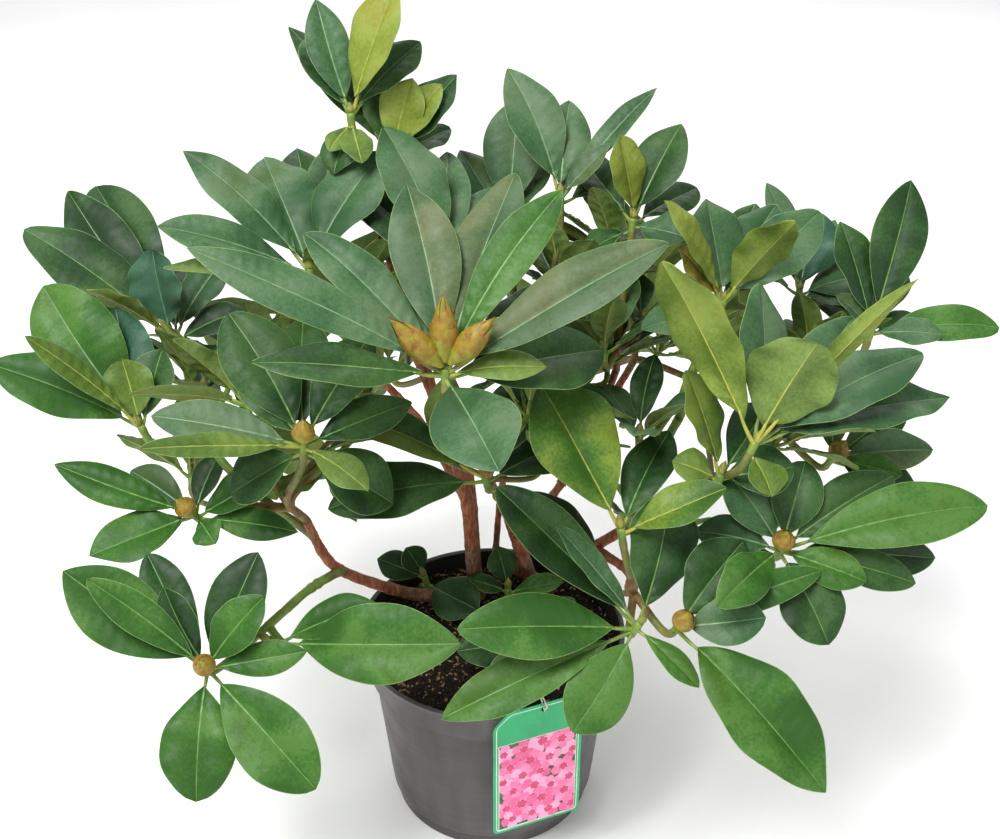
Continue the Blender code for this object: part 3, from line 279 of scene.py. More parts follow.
# ---- Foliage ----
# Each mass: its name, the limb whose tip carries it, its whorls, and the finer whorls that only the scene
# has, on the older wood inside. Each whorl: the bud's place in mm, the bud's heading, the bud's size, the
# letters of the leaves' tints, and the leaves. A heading is a bearing, turning anticlockwise from the right
# as the eye in front sees it, and a lean toward that eye. A leaf is its heading, its length and its width.
# Three numbers in place of the leaves are a rule: how many, how long and the first turn. The tints are
# dealt to such leaves. Finer whorls are all by rule, and have no size of bud.
MASSES = (
    ("foliage_front_centre", "front_stem", (
        ((-30, -103, 475), (90, 28), BIG_BUD, "bbwugubgddbdl", ((155, 8, 186, 34), (136, -5, 135, 34),
          (102, -15, 136, 44), (71, -12, 152, 42), (57, -5, 146, 32), (29, 5, 170, 42), (124, -22, 76, 15),
          (42, 2, 52, 13), (38, -35, 125, 30), (179, 22, 130, 36), (299, 48, 112, 54), (8, -25, 122, 58),
          (1, 2, 68, 22))),
        ((-5, -26, 340), (105, 20), None, "edddd", ((157, 15, 140, 34), (192, 12, 122, 50),
          (58, -10, 96, 46), (325, -10, 108, 40), (18, -22, 92, 44))),
    ), (
        ((-51, 0, 364), (110, 10), "d", (10, 86, 30)), ((42, 0, 340), (70, 5), "dgd", (10, 92, 75)),
        ((30, -30, 400), (60, -10), "d", (9, 88, 0)),
    )),
    ("foliage_front_right", "front_right_bough", (
        ((134, -152, 296), (60, 50), MID_BUD, "ggbd", ((311, 10, 150, 58), (20, -5, 109, 24),
          (6, 2, 60, 32), (50, -14, 78, 44))),
        ((107, -143, 291), (60, 35), None, "gggdbdg", ((180, 15, 134, 44), (205, 5, 157, 35),
          (237, 10, 91, 44), (137, -5, 141, 40), (131, 14, 96, 20), (75, -12, 97, 50), (312, 12, 61, 20))),
        ((93, -109, 349), (100, 20), None, "kkd", ((119, -4, 118, 62), (22, 12, 80, 32),
          (60, -30, 90, 34))),
    ), (
        ((82, 0, 250), (100, 10), "d", (11, 94, 10)), ((120, -60, 300), (70, 0), "dg", (9, 78, 50)),
    )),
    ("foliage_right_front", "right_stem", (
        ((186, -94, 413), (65, 5), None, "mkmbbbbl", ((122, 25, 153, 46), (64, 32, 86, 60),
          (48, 20, 154, 18), (27, -5, 135, 50), (12, -10, 149, 46), (87, -8, 113, 42), (47, -24, 140, 36),
          (282, 20, 42, 30))),
        ((165, -86, 380), (75, 20), None, "mldd", ((110, 12, 80, 34), (165, 10, 36, 28), (50, -35, 84, 34),
          (5, -5, 54, 38))),
    ), (
        ((168, 0, 361), (95, 0), "d", (11, 92, 20)), ((215, -30, 372), (60, -10), "db", (10, 92, 60)),
    )),
    ("foliage_right_low", "right_low_bough", (
        ((210, -107, 332), (85, 50), MID_BUD, "gggdbdbddd", ((11, 0, 151, 44), (342, 10, 64, 28),
          (214, 20, 84, 32), (294, 15, 77, 46), (131, -10, 66, 38), (72, -15, 65, 36), (166, -5, 63, 30),
          (354, -18, 130, 34), (30, -12, 102, 36), (344, -10, 106, 28))),
    ), (
        ((192, -40, 307), (95, 10), "d", (11, 82, 40)), ((236, -50, 330), (40, -10), "d", (9, 82, 0)),
    )),
    ("foliage_front_left", "low_left_bough", (
        ((-205, -152, 257), (90, 65), MID_BUD, "ggdddgggg", ((146, 0, 124, 50), (139, 16, 106, 26),
          (120, -10, 94, 32), (115, 10, 66, 26), (66, -5, 90, 40), (50, 6, 68, 32), (9, 0, 74, 24),
          (268, 10, 94, 50), (314, 5, 118, 50))),
        ((-163, -126, 261), (150, 30), None, "gg", ((18, 5, 86, 30), (1, 10, 146, 54))),
    ), ()),
    ("foliage_left", "left_stem", (
        ((-133, -77, 403), (85, 35), MID_BUD, "lblddddddd", ((183, 28, 116, 20), (171, 0, 110, 34),
          (325, 30, 70, 24), (122, -10, 110, 50), (133, -6, 78, 30), (95, -32, 110, 42), (60, -22, 96, 36),
          (20, -25, 88, 32), (322, -25, 86, 46), (215, -20, 74, 40))),
        ((-227, -53, 324), (130, 40), MID_BUD, "ggdgggwd", ((160, 5, 107, 28), (204, 15, 80, 40),
          (206, 0, 64, 30), (311, 15, 32, 24), (25, -5, 66, 30), (350, 5, 84, 24), (148, -14, 60, 28),
          (68, -20, 52, 26))),
    ), (
        ((-125, -10, 346), (250, -10), "dg", (9, 70, 20)), ((-188, 0, 392), (110, -10), "d", (11, 94, 35)),
        ((-238, 5, 322), (95, -20), "dg", (10, 72, 0)), ((-96, -10, 380), (60, -10), "d", (10, 86, 10)),
    )),
    ("foliage_far_left", "far_left_bough", (
        ((-265, -20, 381), (110, 35), None, "glgtld", ((157, 10, 117, 46), (137, 30, 108, 20),
          (126, -5, 132, 62), (105, -14, 96, 42), (103, 10, 52, 38), (74, -4, 60, 34))),
        ((-253, 60, 416), (110, 30), None, "dddtybddd", ((144, 5, 140, 48), (127, -5, 147, 46),
          (120, -16, 150, 50), (99, 15, 70, 46), (149, 35, 80, 28), (60, -20, 90, 32), (90, -50, 110, 34),
          (20, -10, 62, 30), (215, -5, 50, 30))),
    ), (
        ((-225, 20, 389), (80, -10), "d", (10, 82, 0)), ((-210, 60, 400), (100, 0), "bd", (9, 84, 60)),
    )),
    ("foliage_upper_left", "main_stem", (
        ((-133, 14, 495), (95, 25), None, "bbdbblw", ((137, 0, 127, 36), (114, -12, 100, 52),
          (101, -35, 128, 36), (59, -6, 103, 50), (166, 16, 112, 32), (181, 8, 105, 20),
          (84, -30, 122, 28))),
        ((-30, 16, 499), (90, 25), None, "bbbdd", ((116, -5, 114, 48), (92, -32, 108, 36),
          (58, -30, 92, 32), (20, -35, 90, 34), (140, -15, 96, 40))),
    ), (
        ((-110, 50, 450), (95, 0), "db", (11, 94, 20)), ((-65, 45, 415), (90, 5), "d", (11, 92, 60)),
    )),
    ("foliage_top", "top_bough", (
        ((-104, 82, 590), (95, 25), None, "byddlldd", ((107, 0, 88, 30), (67, 15, 98, 46),
          (48, -12, 78, 34), (121, -12, 70, 30), (285, 30, 50, 22), (245, 20, 36, 16), (85, -60, 84, 28),
          (262, -5, 48, 30))),
        ((-74, 87, 556), (80, 25), None, "ydyddd", ((74, 15, 58, 34), (50, 5, 76, 36), (52, 20, 64, 30),
          (129, -12, 128, 30), (30, -25, 54, 28), (100, -10, 62, 32))),
    ), ()),
    ("foliage_upper_centre", "thin_stem", (
        ((53, 79, 526), (92, 20), None, "bbbwdb", ((112, -6, 108, 40), (84, -12, 79, 38), (48, 0, 110, 20),
          (44, 12, 54, 24), (75, -48, 96, 32), (15, -35, 90, 32))),
        ((13, 106, 490), (92, 15), None, "bwodd", ((85, 0, 100, 46), (122, -5, 72, 34), (172, 2, 50, 26),
          (130, -42, 92, 30), (62, -12, 72, 32))),
        ((48, 30, 388), (95, 15), None, "d", (5, 84, 50)),
    ), (
        ((92, 50, 400), (90, 5), "d", (11, 92, 10)), ((54, 76, 448), (85, 0), "db", (10, 88, 45)),
    )),
    ("foliage_upper_right", "upper_right_stem", (
        ((108, 61, 515), (85, 25), None, "ydbbddd", ((102, 20, 63, 38), (63, -5, 82, 40), (79, -18, 56, 28),
          (336, 20, 46, 32), (125, -45, 88, 30), (30, -42, 88, 30), (215, -20, 60, 32))),
        ((86, 22, 424), (95, 10), None, "d", (6, 92, 40)),
    ), (
        ((120, 70, 425), (80, 0), "d", (11, 88, 30)), ((100, 90, 470), (80, -10), "db", (10, 84, 0)),
    )),
    ("foliage_right_upper", "right_upper_bough", (
        ((176, 29, 462), (75, 20), None, "yobbdybbb", ((127, 30, 97, 32), (134, 16, 54, 28),
          (99, -6, 78, 52), (42, -10, 105, 44), (68, -28, 98, 30), (50, 36, 84, 40), (59, -15, 94, 38),
          (33, -26, 112, 28), (200, 5, 70, 30))),
        ((112, -26, 378), (90, 20), None, "db", (6, 88, 60)),
    ), (
        ((160, 40, 400), (80, -5), "d", (10, 92, 15)),
    )),
    ("foliage_far_right", "far_right_bough", (
        ((302, 63, 421), (75, 15), None, "ddgbwdd", ((74, -5, 124, 42), (105, -6, 89, 34), (0, 0, 101, 36),
          (352, 8, 54, 28), (141, 10, 40, 24), (55, -42, 96, 32), (8, -38, 72, 28))),
        ((255, 123, 425), (85, 10), None, "bbtbbdbd", ((350, 10, 44, 25), (107, 0, 93, 28),
          (77, -4, 70, 52), (60, -22, 78, 30), (150, -12, 84, 28), (90, -50, 90, 30), (12, -5, 62, 40),
          (338, -12, 64, 38))),
        ((272, 11, 334), (60, 40), MID_BUD, "wgddd", ((3, 0, 78, 32), (343, 12, 54, 24), (332, 4, 78, 38),
          (95, -10, 46, 26), (30, -22, 84, 28))),
    ), (
        ((258, 70, 385), (80, -5), "db", (11, 88, 30)), ((250, 20, 360), (60, 0), "d", (9, 80, 70)),
    )),
    ("foliage_back_left", "back_left_bough", (
        ((-165, 170, 380), (110, -10), None, "dbg", (7, 118, 20)),
        ((-225, 118, 300), (150, -15), None, "ddddbdg", ((335, -5, 96, 42), (300, 5, 78, 38),
          (20, -12, 92, 36), (75, -20, 96, 36), (120, -25, 90, 34), (165, -40, 88, 32),
          (230, -45, 70, 32))),
    ), (
        ((-190, 150, 330), (130, -20), "dbg", (10, 98, 25)),
    )),
    ("foliage_back", "back_stem", (
        ((-35, 225, 395), (92, -15), None, "bdg", (7, 122, 50)),
        ((-100, 240, 285), (120, -35), None, "gdb", (7, 112, 10)),
    ), (
        ((-70, 200, 350), (110, -20), "bdg", (10, 98, 0)),
    )),
    ("foliage_back_right", "back_right_bough", (
        ((130, 218, 380), (75, -15), None, "dbb", (7, 120, 35)),
        ((225, 165, 325), (45, -20), None, "gdb", (7, 110, 60)),
        ((70, 262, 285), (80, -40), None, "dgg", (7, 112, 0)),
    ), (
        ((150, 180, 340), (60, -20), "dbg", (10, 98, 40)),
    )),
)

# Shoots that rise straight from the soil: name, foot, and whorls as above.
BASAL_SHOOTS = (
    ("basal_leaves_left", (-64, 76), (
        ((-60, 62, 176), (110, 20), None, "dddd", ((160, 0, 44, 28), (122, 8, 30, 24), (354, 4, 58, 36),
          (332, 18, 66, 40))),
    )),
    ("basal_leaves_right", (14, 50), (
        ((14, 42, 178), (90, 20), None, "dgd", ((100, 0, 38, 26), (8, 8, 50, 22), (165, 14, 36, 18))),
    )),
    ("basal_leaves_front", (26, -18), (
        ((33, -44, 198), (60, 30), None, "dwd", ((192, 6, 62, 36), (250, 20, 62, 36), (40, 0, 45, 20))),
    )),
)

MASS_BOXES = [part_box(name) for name, *_ in MASSES]


# ---- Headings and paths ----
def heading(bearing, lean):
    """The direction of a bearing and a lean in degrees, as the eye in front reads them."""
    across = cos(radians(lean))
    sideways = RIGHT * cos(radians(bearing)) + UPWARD * sin(radians(bearing))
    return (sideways * across + TOWARD * sin(radians(lean))).normalized()


def polar(radius, angle):
    """The two coordinates of a point so far from the middle, at an angle."""
    return radius * cos(angle), radius * sin(angle)


def circle(radius, count):
    """So many points round a circle, each as two coordinates."""
    return [polar(radius, tau * k / count) for k in range(count)]


def smooth_path(points, steps):
    """A Catmull-Rom curve through the points, with so many steps between each two."""
    ends = [points[0] * 2 - points[1], *points, points[-1] * 2 - points[-2]]
    path = []
    for i in range(len(points) - 1):
        a, b, c, d = ends[i:i + 4]
        for k in range(steps):
            t = k / steps
            path.append(0.5 * (2 * b + (c - a) * t + (2 * a - 5 * b + 4 * c - d) * t * t
                               + (3 * b - a - 3 * c + d) * t ** 3))
    path.append(points[-1].copy())
    return path


def along(path, share):
    """The place and the direction at a share of the way along a path."""
    place = share * (len(path) - 1)
    i = min(int(place), len(path) - 2)
    return path[i].lerp(path[i + 1], place - i), (path[i + 1] - path[i]).normalized()


def twig_path(start, direction, site, axis, steps=3):
    """A path that leaves the start along one direction and ends straight along the bud's axis."""
    neck = site - axis * (LEAF_ZONE + 2 * MM)
    reach = (neck - start).length
    first = start + direction * 0.3 * reach
    last = neck - axis * 0.3 * reach
    path = []
    for k in range(steps + 1):
        t = k / steps
        path.append(start * (1 - t) ** 3 + first * 3 * t * (1 - t) ** 2
                    + last * 3 * t * t * (1 - t) + neck * t ** 3)
    return path + [neck.lerp(site, share) for share in (0.2, 0.4, 0.6, 0.8, 1)]


def even_path(path, step):
    """The same path with its points an even step apart."""
    result = [path[0].copy()]
    for place in path[1:]:
        while (place - result[-1]).length > step:
            result.append(result[-1] + (place - result[-1]).normalized() * step)
    if (path[-1] - result[-1]).length > 0.3 * step:
        result.append(path[-1].copy())
    return result


# ---- Meshes ----
class Heap:
    """Points and faces gathered into one mesh, each face with the name of its material."""

    def __init__(self):
        self.points = []
        self.faces = []
        self.looks = []

    def add(self, points, faces, looks):
        """Add faces that count from zero; looks is one material name or one for each face."""
        first = len(self.points)
        self.points.extend(points)
        self.faces.extend([[first + i for i in face] for face in faces])
        self.looks.extend([looks] * len(faces) if isinstance(looks, str) else looks)

    def make(self, name, slot, *nodes, sharp=None):
        """Make the mesh, let it ride with the plant, and let it replace the nodes."""
        mesh = bpy.data.meshes.new(name)
        mesh.from_pydata(self.points, [], self.faces)
        used = sorted(set(self.looks))
        for look in used:
            mesh.materials.append(MATERIALS[look])
        mesh.polygons.foreach_set("material_index", [used.index(look) for look in self.looks])
        mesh.shade_smooth()
        if sharp:
            mesh.set_sharp_from_angle(angle=sharp)
        mesh.update()
        return place_piece(name, mesh, slot, *nodes)


def add_object(name, data):
    thing = bpy.data.objects.new(name, data)
    bpy.context.scene.collection.objects.link(thing)
    return thing


def place_piece(name, mesh, slot, *nodes):
    """Put a piece in the scene, on the plant's one body."""
    piece = add_object(name, mesh)
    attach(piece, "root")
    if nodes:
        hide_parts(*nodes)
    return piece


def grid_faces(rows, columns, closed):
    """Quads of a grid of points stored row by row; a closed grid joins its last column to its first."""
    faces = []
    for row in range(0, (rows - 1) * columns, columns):
        for column in range(columns if closed else columns - 1):
            left = row + column
            right = row + (column + 1) % columns
            faces.append((left, right, right + columns, left + columns))
    return faces


def turned_faces(rows, columns):
    """The faces of a solid of revolution, closed by one face at each end."""
    faces = [face[::-1] for face in grid_faces(rows, columns, closed=True)]
    return [*faces, tuple(range(columns)), tuple(reversed(range((rows - 1) * columns, rows * columns)))]


def add_tube(heap, path, radius_at, sides, look_at, relief=None):
    """A closed round limb along a path; radius and look depend on the row, relief on the place."""
    rows = len(path)
    tangent = (path[1] - path[0]).normalized()
    normal = tangent.orthogonal().normalized()
    points = []
    for row, place in enumerate(path):
        ahead = path[min(row + 1, rows - 1)] - path[max(row - 1, 0)]
        turn = tangent.rotation_difference(ahead.normalized())
        tangent = ahead.normalized()
        normal = turn @ normal
        binormal = tangent.cross(normal)
        round_radius = radius_at(row)
        for side in range(sides):
            angle = tau * side / sides
            outward = normal * cos(angle) + binormal * sin(angle)
            radius = round_radius
            if relief:
                radius += relief(place + outward * radius)
            points.append(place + outward * radius)
    faces = grid_faces(rows, sides, closed=True)
    looks = [look_at(i // sides) for i in range(len(faces))]
    points += [path[0].copy(), path[-1].copy()]
    for side in range(sides):
        after = (side + 1) % sides
        faces.append((rows * sides, after, side))
        faces.append((rows * sides + 1, (rows - 1) * sides + side, (rows - 1) * sides + after))
        looks += [look_at(0), look_at(rows - 1)]
    heap.add(points, faces, looks)


# ---- Leaves ----
def oval_width(s, widest, base_fullness, tip_fullness):
    """The blade's width at a share of its length, over its greatest width."""
    if s < widest:
        return sin(pi / 2 * s / widest) ** base_fullness
    return max(0.0, cos(pi / 2 * (s - widest) / (1 - widest))) ** tip_fullness


def add_leaf(heap, root, tip, face, width, tint, chance):
    """A leaf from its root to its tip: a petiole, and a thin blade with veins, midrib and pale margin.

    Its upper side looks along face, and chance is the random stream of its shape. The search tree of its
    upper skin is returned, without the crowded part near the bud.
    """
    length = (tip - root).length
    direction = (tip - root) / length
    face = (face - direction * face.dot(direction)).normalized()
    side = direction.cross(face)
    (widest, base_fullness, tip_fullness, fold, bulge, curl, wave, waves, phase, sweep, twist, droop,
     slope) = [chance.uniform(*limits) for limits in LEAF_SHAPE]
    broad = width * MM * BROADER

    def midrib(t):
        arch = LEAF_ARCH * length * 4 * t * (1 - t) * (1 + droop * (t - 0.5) * 2)
        return root + direction * t * length + face * arch + side * sweep * length * sin(pi * t)

    blade_length = length * (1 - PETIOLE_SHARE)
    rows = int(min(MOST_ROWS, max(LEAST_ROWS, blade_length / ROW_LENGTH)))
    top = []
    bottom = []
    for row in range(rows + 1):
        s = (row / rows) ** ROW_SPREAD
        middle = midrib(PETIOLE_SHARE + (1 - PETIOLE_SHARE) * s)
        lean = face * cos(twist * s) + side * sin(twist * s)
        wide = side * cos(twist * s) - face * sin(twist * s)
        half = max(LEAST_HALF_WIDTH, broad / 2 * oval_width(s, widest, base_fullness, tip_fullness))
        rib = min(0.4, RIB_HALF_WIDTH * (1.2 - 0.85 * s) / half)
        edge = max(rib + 0.2, 1 - MARGIN_WIDTH / half)
        stations = [rib, *[rib + (edge - rib) * share for share in LEAF_COLUMNS], edge, 1]
        for across in [-x for x in reversed(stations)] + stations:
            out = abs(across)
            ripple = cos(tau * (s * blade_length - VEIN_SLANT * out * half) / VEIN_PERIOD)
            rise = half * (fold * out + slope * across + bulge * sin(pi * out) - curl * out ** 3)
            rise += wave * broad * sin(waves * tau * s + phase + (across > 0)) * out * out
            rise += VEIN_DEPTH * ripple * sin(pi * min(1, out * 1.04)) ** 0.8 * min(1, 5 * (1 - s))
            rise -= RIB_SINK if out <= rib else 0
            place = middle + wide * half * across + lean * rise
            top.append(place)
            if out < 1:
                depth = SHEET_THICKNESS * (1 - 0.5 * out)
                depth += PETIOLE_TIP_RADIUS * (1.1 - s) if out <= rib else 0
                bottom.append(place - lean * depth)
    columns = 2 * len(stations)
    strips = columns - 1
    faces = grid_faces(rows + 1, columns, closed=False)
    skin = BVHTree.FromPolygons(top, faces[int(rows * CROWDED_SHARE) * strips:])

    def under(row, column):
        if column in (0, columns - 1):
            return row * columns + column
        return len(top) + row * (columns - 2) + column - 1

    for row in range(rows):
        for column in range(strips):
            faces.append((under(row, column), under(row + 1, column),
                          under(row + 1, column + 1), under(row, column + 1)))
    rib_tone, under_tone = TONES[tint]
    left, right = [["leaf_" + half] * (strips // 2 - 1) for half in HALVES.get(tint, tint * 2)]
    upper = ["margin", *left, "rib_" + rib_tone, *right, "margin"]
    lower = ["under_" + under_tone] * strips
    lower[strips // 2] = "under_rib"
    heap.add(top + bottom, faces, upper * rows + lower * rows)

    start = root - direction * ROOT_DEPTH
    bend = face * PETIOLE_BEND * length
    ahead = midrib(PETIOLE_SHARE + 0.05)
    petiole = []
    for k in range(PETIOLE_STEPS + 1):
        t = k / PETIOLE_STEPS
        petiole.append(start.lerp(ahead, t) - face * PETIOLE_TIP_RADIUS - bend * sin(pi * t))
    shrink = (PETIOLE_RADIUS - PETIOLE_TIP_RADIUS) / PETIOLE_STEPS
    add_tube(heap, petiole, lambda row: PETIOLE_RADIUS - shrink * row, PETIOLE_SIDES,
             lambda row: "petiole_" + rib_tone)
    return skin


def leaf_headings(axis, tints, rows, chance):
    """Each leaf's heading, length, width and tint, as given or by the golden turn round the bud."""
    if isinstance(rows[0], tuple):
        return [(*row, tint) for row, tint in zip(rows, tints)]
    count, size, first = rows
    leaves = []
    across = axis.orthogonal().normalized()
    over = axis.cross(across)
    for i in range(count):
        turn = radians(first) + i * GOLDEN_TURN
        spread = radians(RULE_SPREAD[0] - RULE_SPREAD[1] * i / count)
        aim = axis * cos(spread) + (across * cos(turn) + over * sin(turn)) * sin(spread)
        lean = degrees(asin(max(-1, min(1, aim.dot(TOWARD)))))
        bearing = degrees(atan2(aim.dot(UPWARD), aim.dot(RIGHT)))
        length = size * (1 - RULE_SHRINK * i / count)
        leaves.append((bearing, lean, length, length * RULE_WIDTH, chance.choice(tints)))
    return leaves


def leaf_face(direction, axis, facing):
    """The way a leaf's upper side looks: as its bud does, with the nearer side turned to the front."""
    face = (axis - direction * axis.dot(direction)).normalized()
    nearer = 1 if face.dot(TOWARD) >= 0 else -1
    return face + TOWARD * nearer * facing


def solid_heading(site, leaf, solid):
    """The leaf's bearing and lean in the solid model: the first nudge whose tip lies on the solid."""
    bearing, lean, length = leaf[:3]
    for turn, tip_over in NUDGES:
        tip = site + heading(bearing + turn, lean + tip_over) * length * MM
        if solid.find_nearest(tip)[3] < TIP_MATCH:
            return bearing + turn, lean + tip_over
    return None


def grow_leaf(heap, site, axis, leaf, facing, skins, chance, finer):
    """Grow a leaf, tipped and shaped to clear the leaves and limbs already grown.

    A finer leaf is skipped if it still crosses something or leaves the space that the masses fill.
    """
    bearing, lean, length, width, tint = leaf
    best = None
    for settle in SETTLE:
        direction = heading(bearing, lean + settle)
        root = site - axis * LEAF_ZONE * (1 - direction.dot(axis)) / 2
        tip = site + direction * length * MM
        trial = Heap()
        skin = add_leaf(trial, root, tip, leaf_face(direction, axis, facing), width, tint, chance)
        crossings = sum(len(skin.overlap(other)) for other in skins)
        if best is None or crossings < best[0]:
            best = (crossings, trial, skin)
        if crossings == 0:
            break
    crossings, grown, skin = best
    if finer and (crossings or not all(in_foliage(point) for point in grown.points)):
        return
    heap.add([held(point) for point in grown.points], grown.faces, grown.looks)
    skins.append(skin)


def held(point):
    """The point, drawn back into the solid model's box."""
    low, high = cad_box
    return Vector([max(low[i] + GAP, min(high[i] - GAP, point[i])) for i in range(3)])


def in_foliage(point):
    """Whether the point lies in the box of some mass of the solid model, clear of the box's sides."""
    for low, high in MASS_BOXES:
        if all(low[i] + REACH_MARGIN < point[i] < high[i] - REACH_MARGIN for i in range(3)):
            return True
    return False


# ---- Twigs and buds ----
def add_twig(heap, path, base, tip, old):
    """A twig with a ring of bud scars below its whorl and a slight swelling where the leaves spring."""
    last = len(path) - 1

    def radius_at(row):
        ring = TWIG_RING if row == last - 5 else 0
        swell = TWIG_SWELL * exp(-((row - last + 1.5) / 1.6) ** 2)
        return base + (tip - base) * (row / last) + ring + swell

    def look_at(row):
        if row > last - 5 or not old:
            return "shoot"
        return "twig" if row > last // 3 else "bark_young"

    add_tube(heap, path, radius_at, TWIG_SIDES, look_at, twig_relief)


def lumps(place, height, pitch):
    """Soft unevenness, so high and so finely spaced."""
    return height * noise.noise(place * pitch)


def twig_relief(place):
    return lumps(place, *TWIG_GRAIN)


def bud_width(u, radius):
    """The bud's radius at a share of its length: narrow at its foot, full, and drawn to a point."""
    return radius * sin(pi * (0.05 + 0.95 * u ** 0.9)) ** 0.95 * (1.1 - 0.22 * u)


def add_bud(heap, root, direction, length, radius, kind):
    """A pointed bud of overlapping scales on a smooth core; kind names its looks."""
    turn = direction.to_track_quat("Z", "Y").to_matrix()
    core = []
    for row in range(BUD_ROWS + 1):
        u = row / BUD_ROWS
        for x, y in circle(bud_width(u, radius) * CORE_WIDTH, BUD_SIDES):
            core.append(root + turn @ Vector((x, y, u * length)))
    heap.add(core, grid_faces(BUD_ROWS + 1, BUD_SIDES, closed=True), kind + "_core")
    count = SMALL_BUD_SCALES if radius < SMALL_BUD else BIG_BUD_SCALES
    for i in range(count):
        share = i / (count - 1)
        low, high, spread = [first + more * share for first, more in SCALE_RANGES]
        patch = []
        for up in range(SCALE_STEPS + 1):
            v = up / SCALE_STEPS
            u = low + (high - low) * v
            narrow = (1 - v ** 2.6) * (0.75 + 0.25 * v)
            lift = SCALE_LIFT + radius * (0.03 * (1 - share) + 0.055 * v * v)
            for k in range(SCALE_STEPS + 1):
                w = 2 * k / SCALE_STEPS - 1
                keel = radius * 0.05 * (1 - abs(w)) * (0.3 + v)
                wide = bud_width(min(0.99, max(0, u)), radius) * 0.94 + lift + keel
                x, y = polar(wide, i * GOLDEN_TURN + spread * narrow * w)
                patch.append(root + turn @ Vector((x, y, u * length)))
        rows = ["_scale"] * FLUSH_ROW + ["_flush"] * (SCALE_STEPS - 1 - FLUSH_ROW) + ["_rim"]
        heap.add(patch, grid_faces(SCALE_STEPS + 1, SCALE_STEPS + 1, closed=False),
                 [kind + row for row in rows for _ in range(SCALE_STEPS)])


def add_buds(heap, site, bud_heading, size, chance):
    """A whorl's flower buds, or the small growing point of a whorl that has none."""
    if size is None:
        aim = heading(*bud_heading)
        add_bud(heap, site - aim * 1.5 * MM, aim, chance.uniform(*TIP_LENGTHS) * MM, TIP_RADIUS, "tip")
        return
    length, radius = size
    for turn in (BIG_BUD_TURNS if size == BIG_BUD else (0,)):
        aim = heading(bud_heading[0] + turn, bud_heading[1])
        foot = site + aim * (BIG_BUD_STANDOFF if size == BIG_BUD else -0.3 * radius * MM)
        add_bud(heap, foot, aim, length * MM, radius * MM, "bud")


def grow_mass(name, start, direction, radius, whorls, finer, old, skins, chance):
    """One mass of foliage: twigs, buds and leaves, each kind its own piece."""
    twigs = Heap()
    buds = Heap()
    leaves = Heap()
    mesh = bmesh.new()
    mesh.from_mesh(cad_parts[name].data)
    solid = BVHTree.FromBMesh(mesh)
    mesh.free()
    sites = [Vector(whorl[0]) * MM for whorl in whorls]
    fork = start - direction * 3 * MM
    fork_direction = direction
    if len(sites) > 1:
        inside = fork
        middle = sum(sites, Vector()) / len(sites)
        fork = start + direction * 2 * STUB + (middle - start) * FORK_SHARE
        fork_direction = (middle - fork).normalized()
        stem = smooth_path([inside, start + direction * STUB, fork, fork + fork_direction * radius], 4)
        add_tube(twigs, stem, lambda row: radius * (1 + 0.04 * row / len(stem)), TWIG_SIDES,
                 lambda row: "bark_young" if old else "shoot", twig_relief)
    plan = [(*whorl, False) for whorl in whorls]
    plan += [(place, bud_heading, None, tints, rule, True) for place, bud_heading, tints, rule in finer]
    for place, bud_heading, size, tints, rows, fine in plan:
        site = Vector(place) * MM
        axis = heading(*bud_heading)
        base, tip = (FINE_TWIG_RADIUS, FINE_TWIG_TIP_RADIUS) if fine else (radius, TWIG_TIP_RADIUS)
        add_twig(twigs, twig_path(fork, fork_direction, site, axis, TWIG_STEPS), base, tip, old)
        add_buds(buds, site, bud_heading, size, chance)
        facing = FACING if isinstance(rows[0], tuple) else 0
        for leaf in leaf_headings(axis, tints, rows, chance):
            turned = leaf[:2] if fine else solid_heading(site, leaf, solid)
            if turned:
                grow_leaf(leaves, site, axis, (*turned, *leaf[2:]), facing, skins, chance, fine)
    twigs.make("twigs_" + name, "foliage", name)
    buds.make("buds_" + name, "foliage")
    leaves.make("leaves_" + name, "foliage")


# ---- Stems and boughs ----
def bark_relief(place):
    """Low lumps, and fine cracks that run along the stem."""
    cracks = abs(noise.noise(Vector([value * pitch for value, pitch in zip(place, CRACK_PITCH)])))
    depth = CRACK_DEPTH * max(0, CRACK_SHARE - cracks) / CRACK_SHARE
    return lumps(place, *BARK_LUMPS) - depth + lumps(place, *BARK_GRAIN)


def add_limb(name, path, base, tip, from_soil):
    """A tapering limb with its flare, leaf scars and bark; the search tree of its skin is returned."""
    heap = Heap()
    last = len(path) - 1
    scars = random.Random(name)
    rings = [scars.uniform(0.15, 0.95) for _ in range(SCAR_COUNT)]

    def radius_at(row):
        share = row / last
        radius = base + (tip - base) * share
        if from_soil:
            radius += FLARE[0] * base * exp(-max(0, path[row].z - SOIL_TOP) / (9 * MM))
        else:
            radius += FLARE[1] * base * exp(-share * 14)
        for ring in rings:
            radius += SCAR_RING * exp(-((share - ring) * last / 1.1) ** 2)
        return radius

    def look_at(row):
        if name in GREEN_LIMBS:
            return "shoot" if row > last * 0.25 else "twig"
        return "bark_old" if from_soil and row < last * 0.28 else "bark"

    add_tube(heap, path, radius_at, LIMB_SIDES, look_at, bark_relief)
    heap.make(name + "_bark", "bark", name)
    return BVHTree.FromPolygons(heap.points, heap.faces)


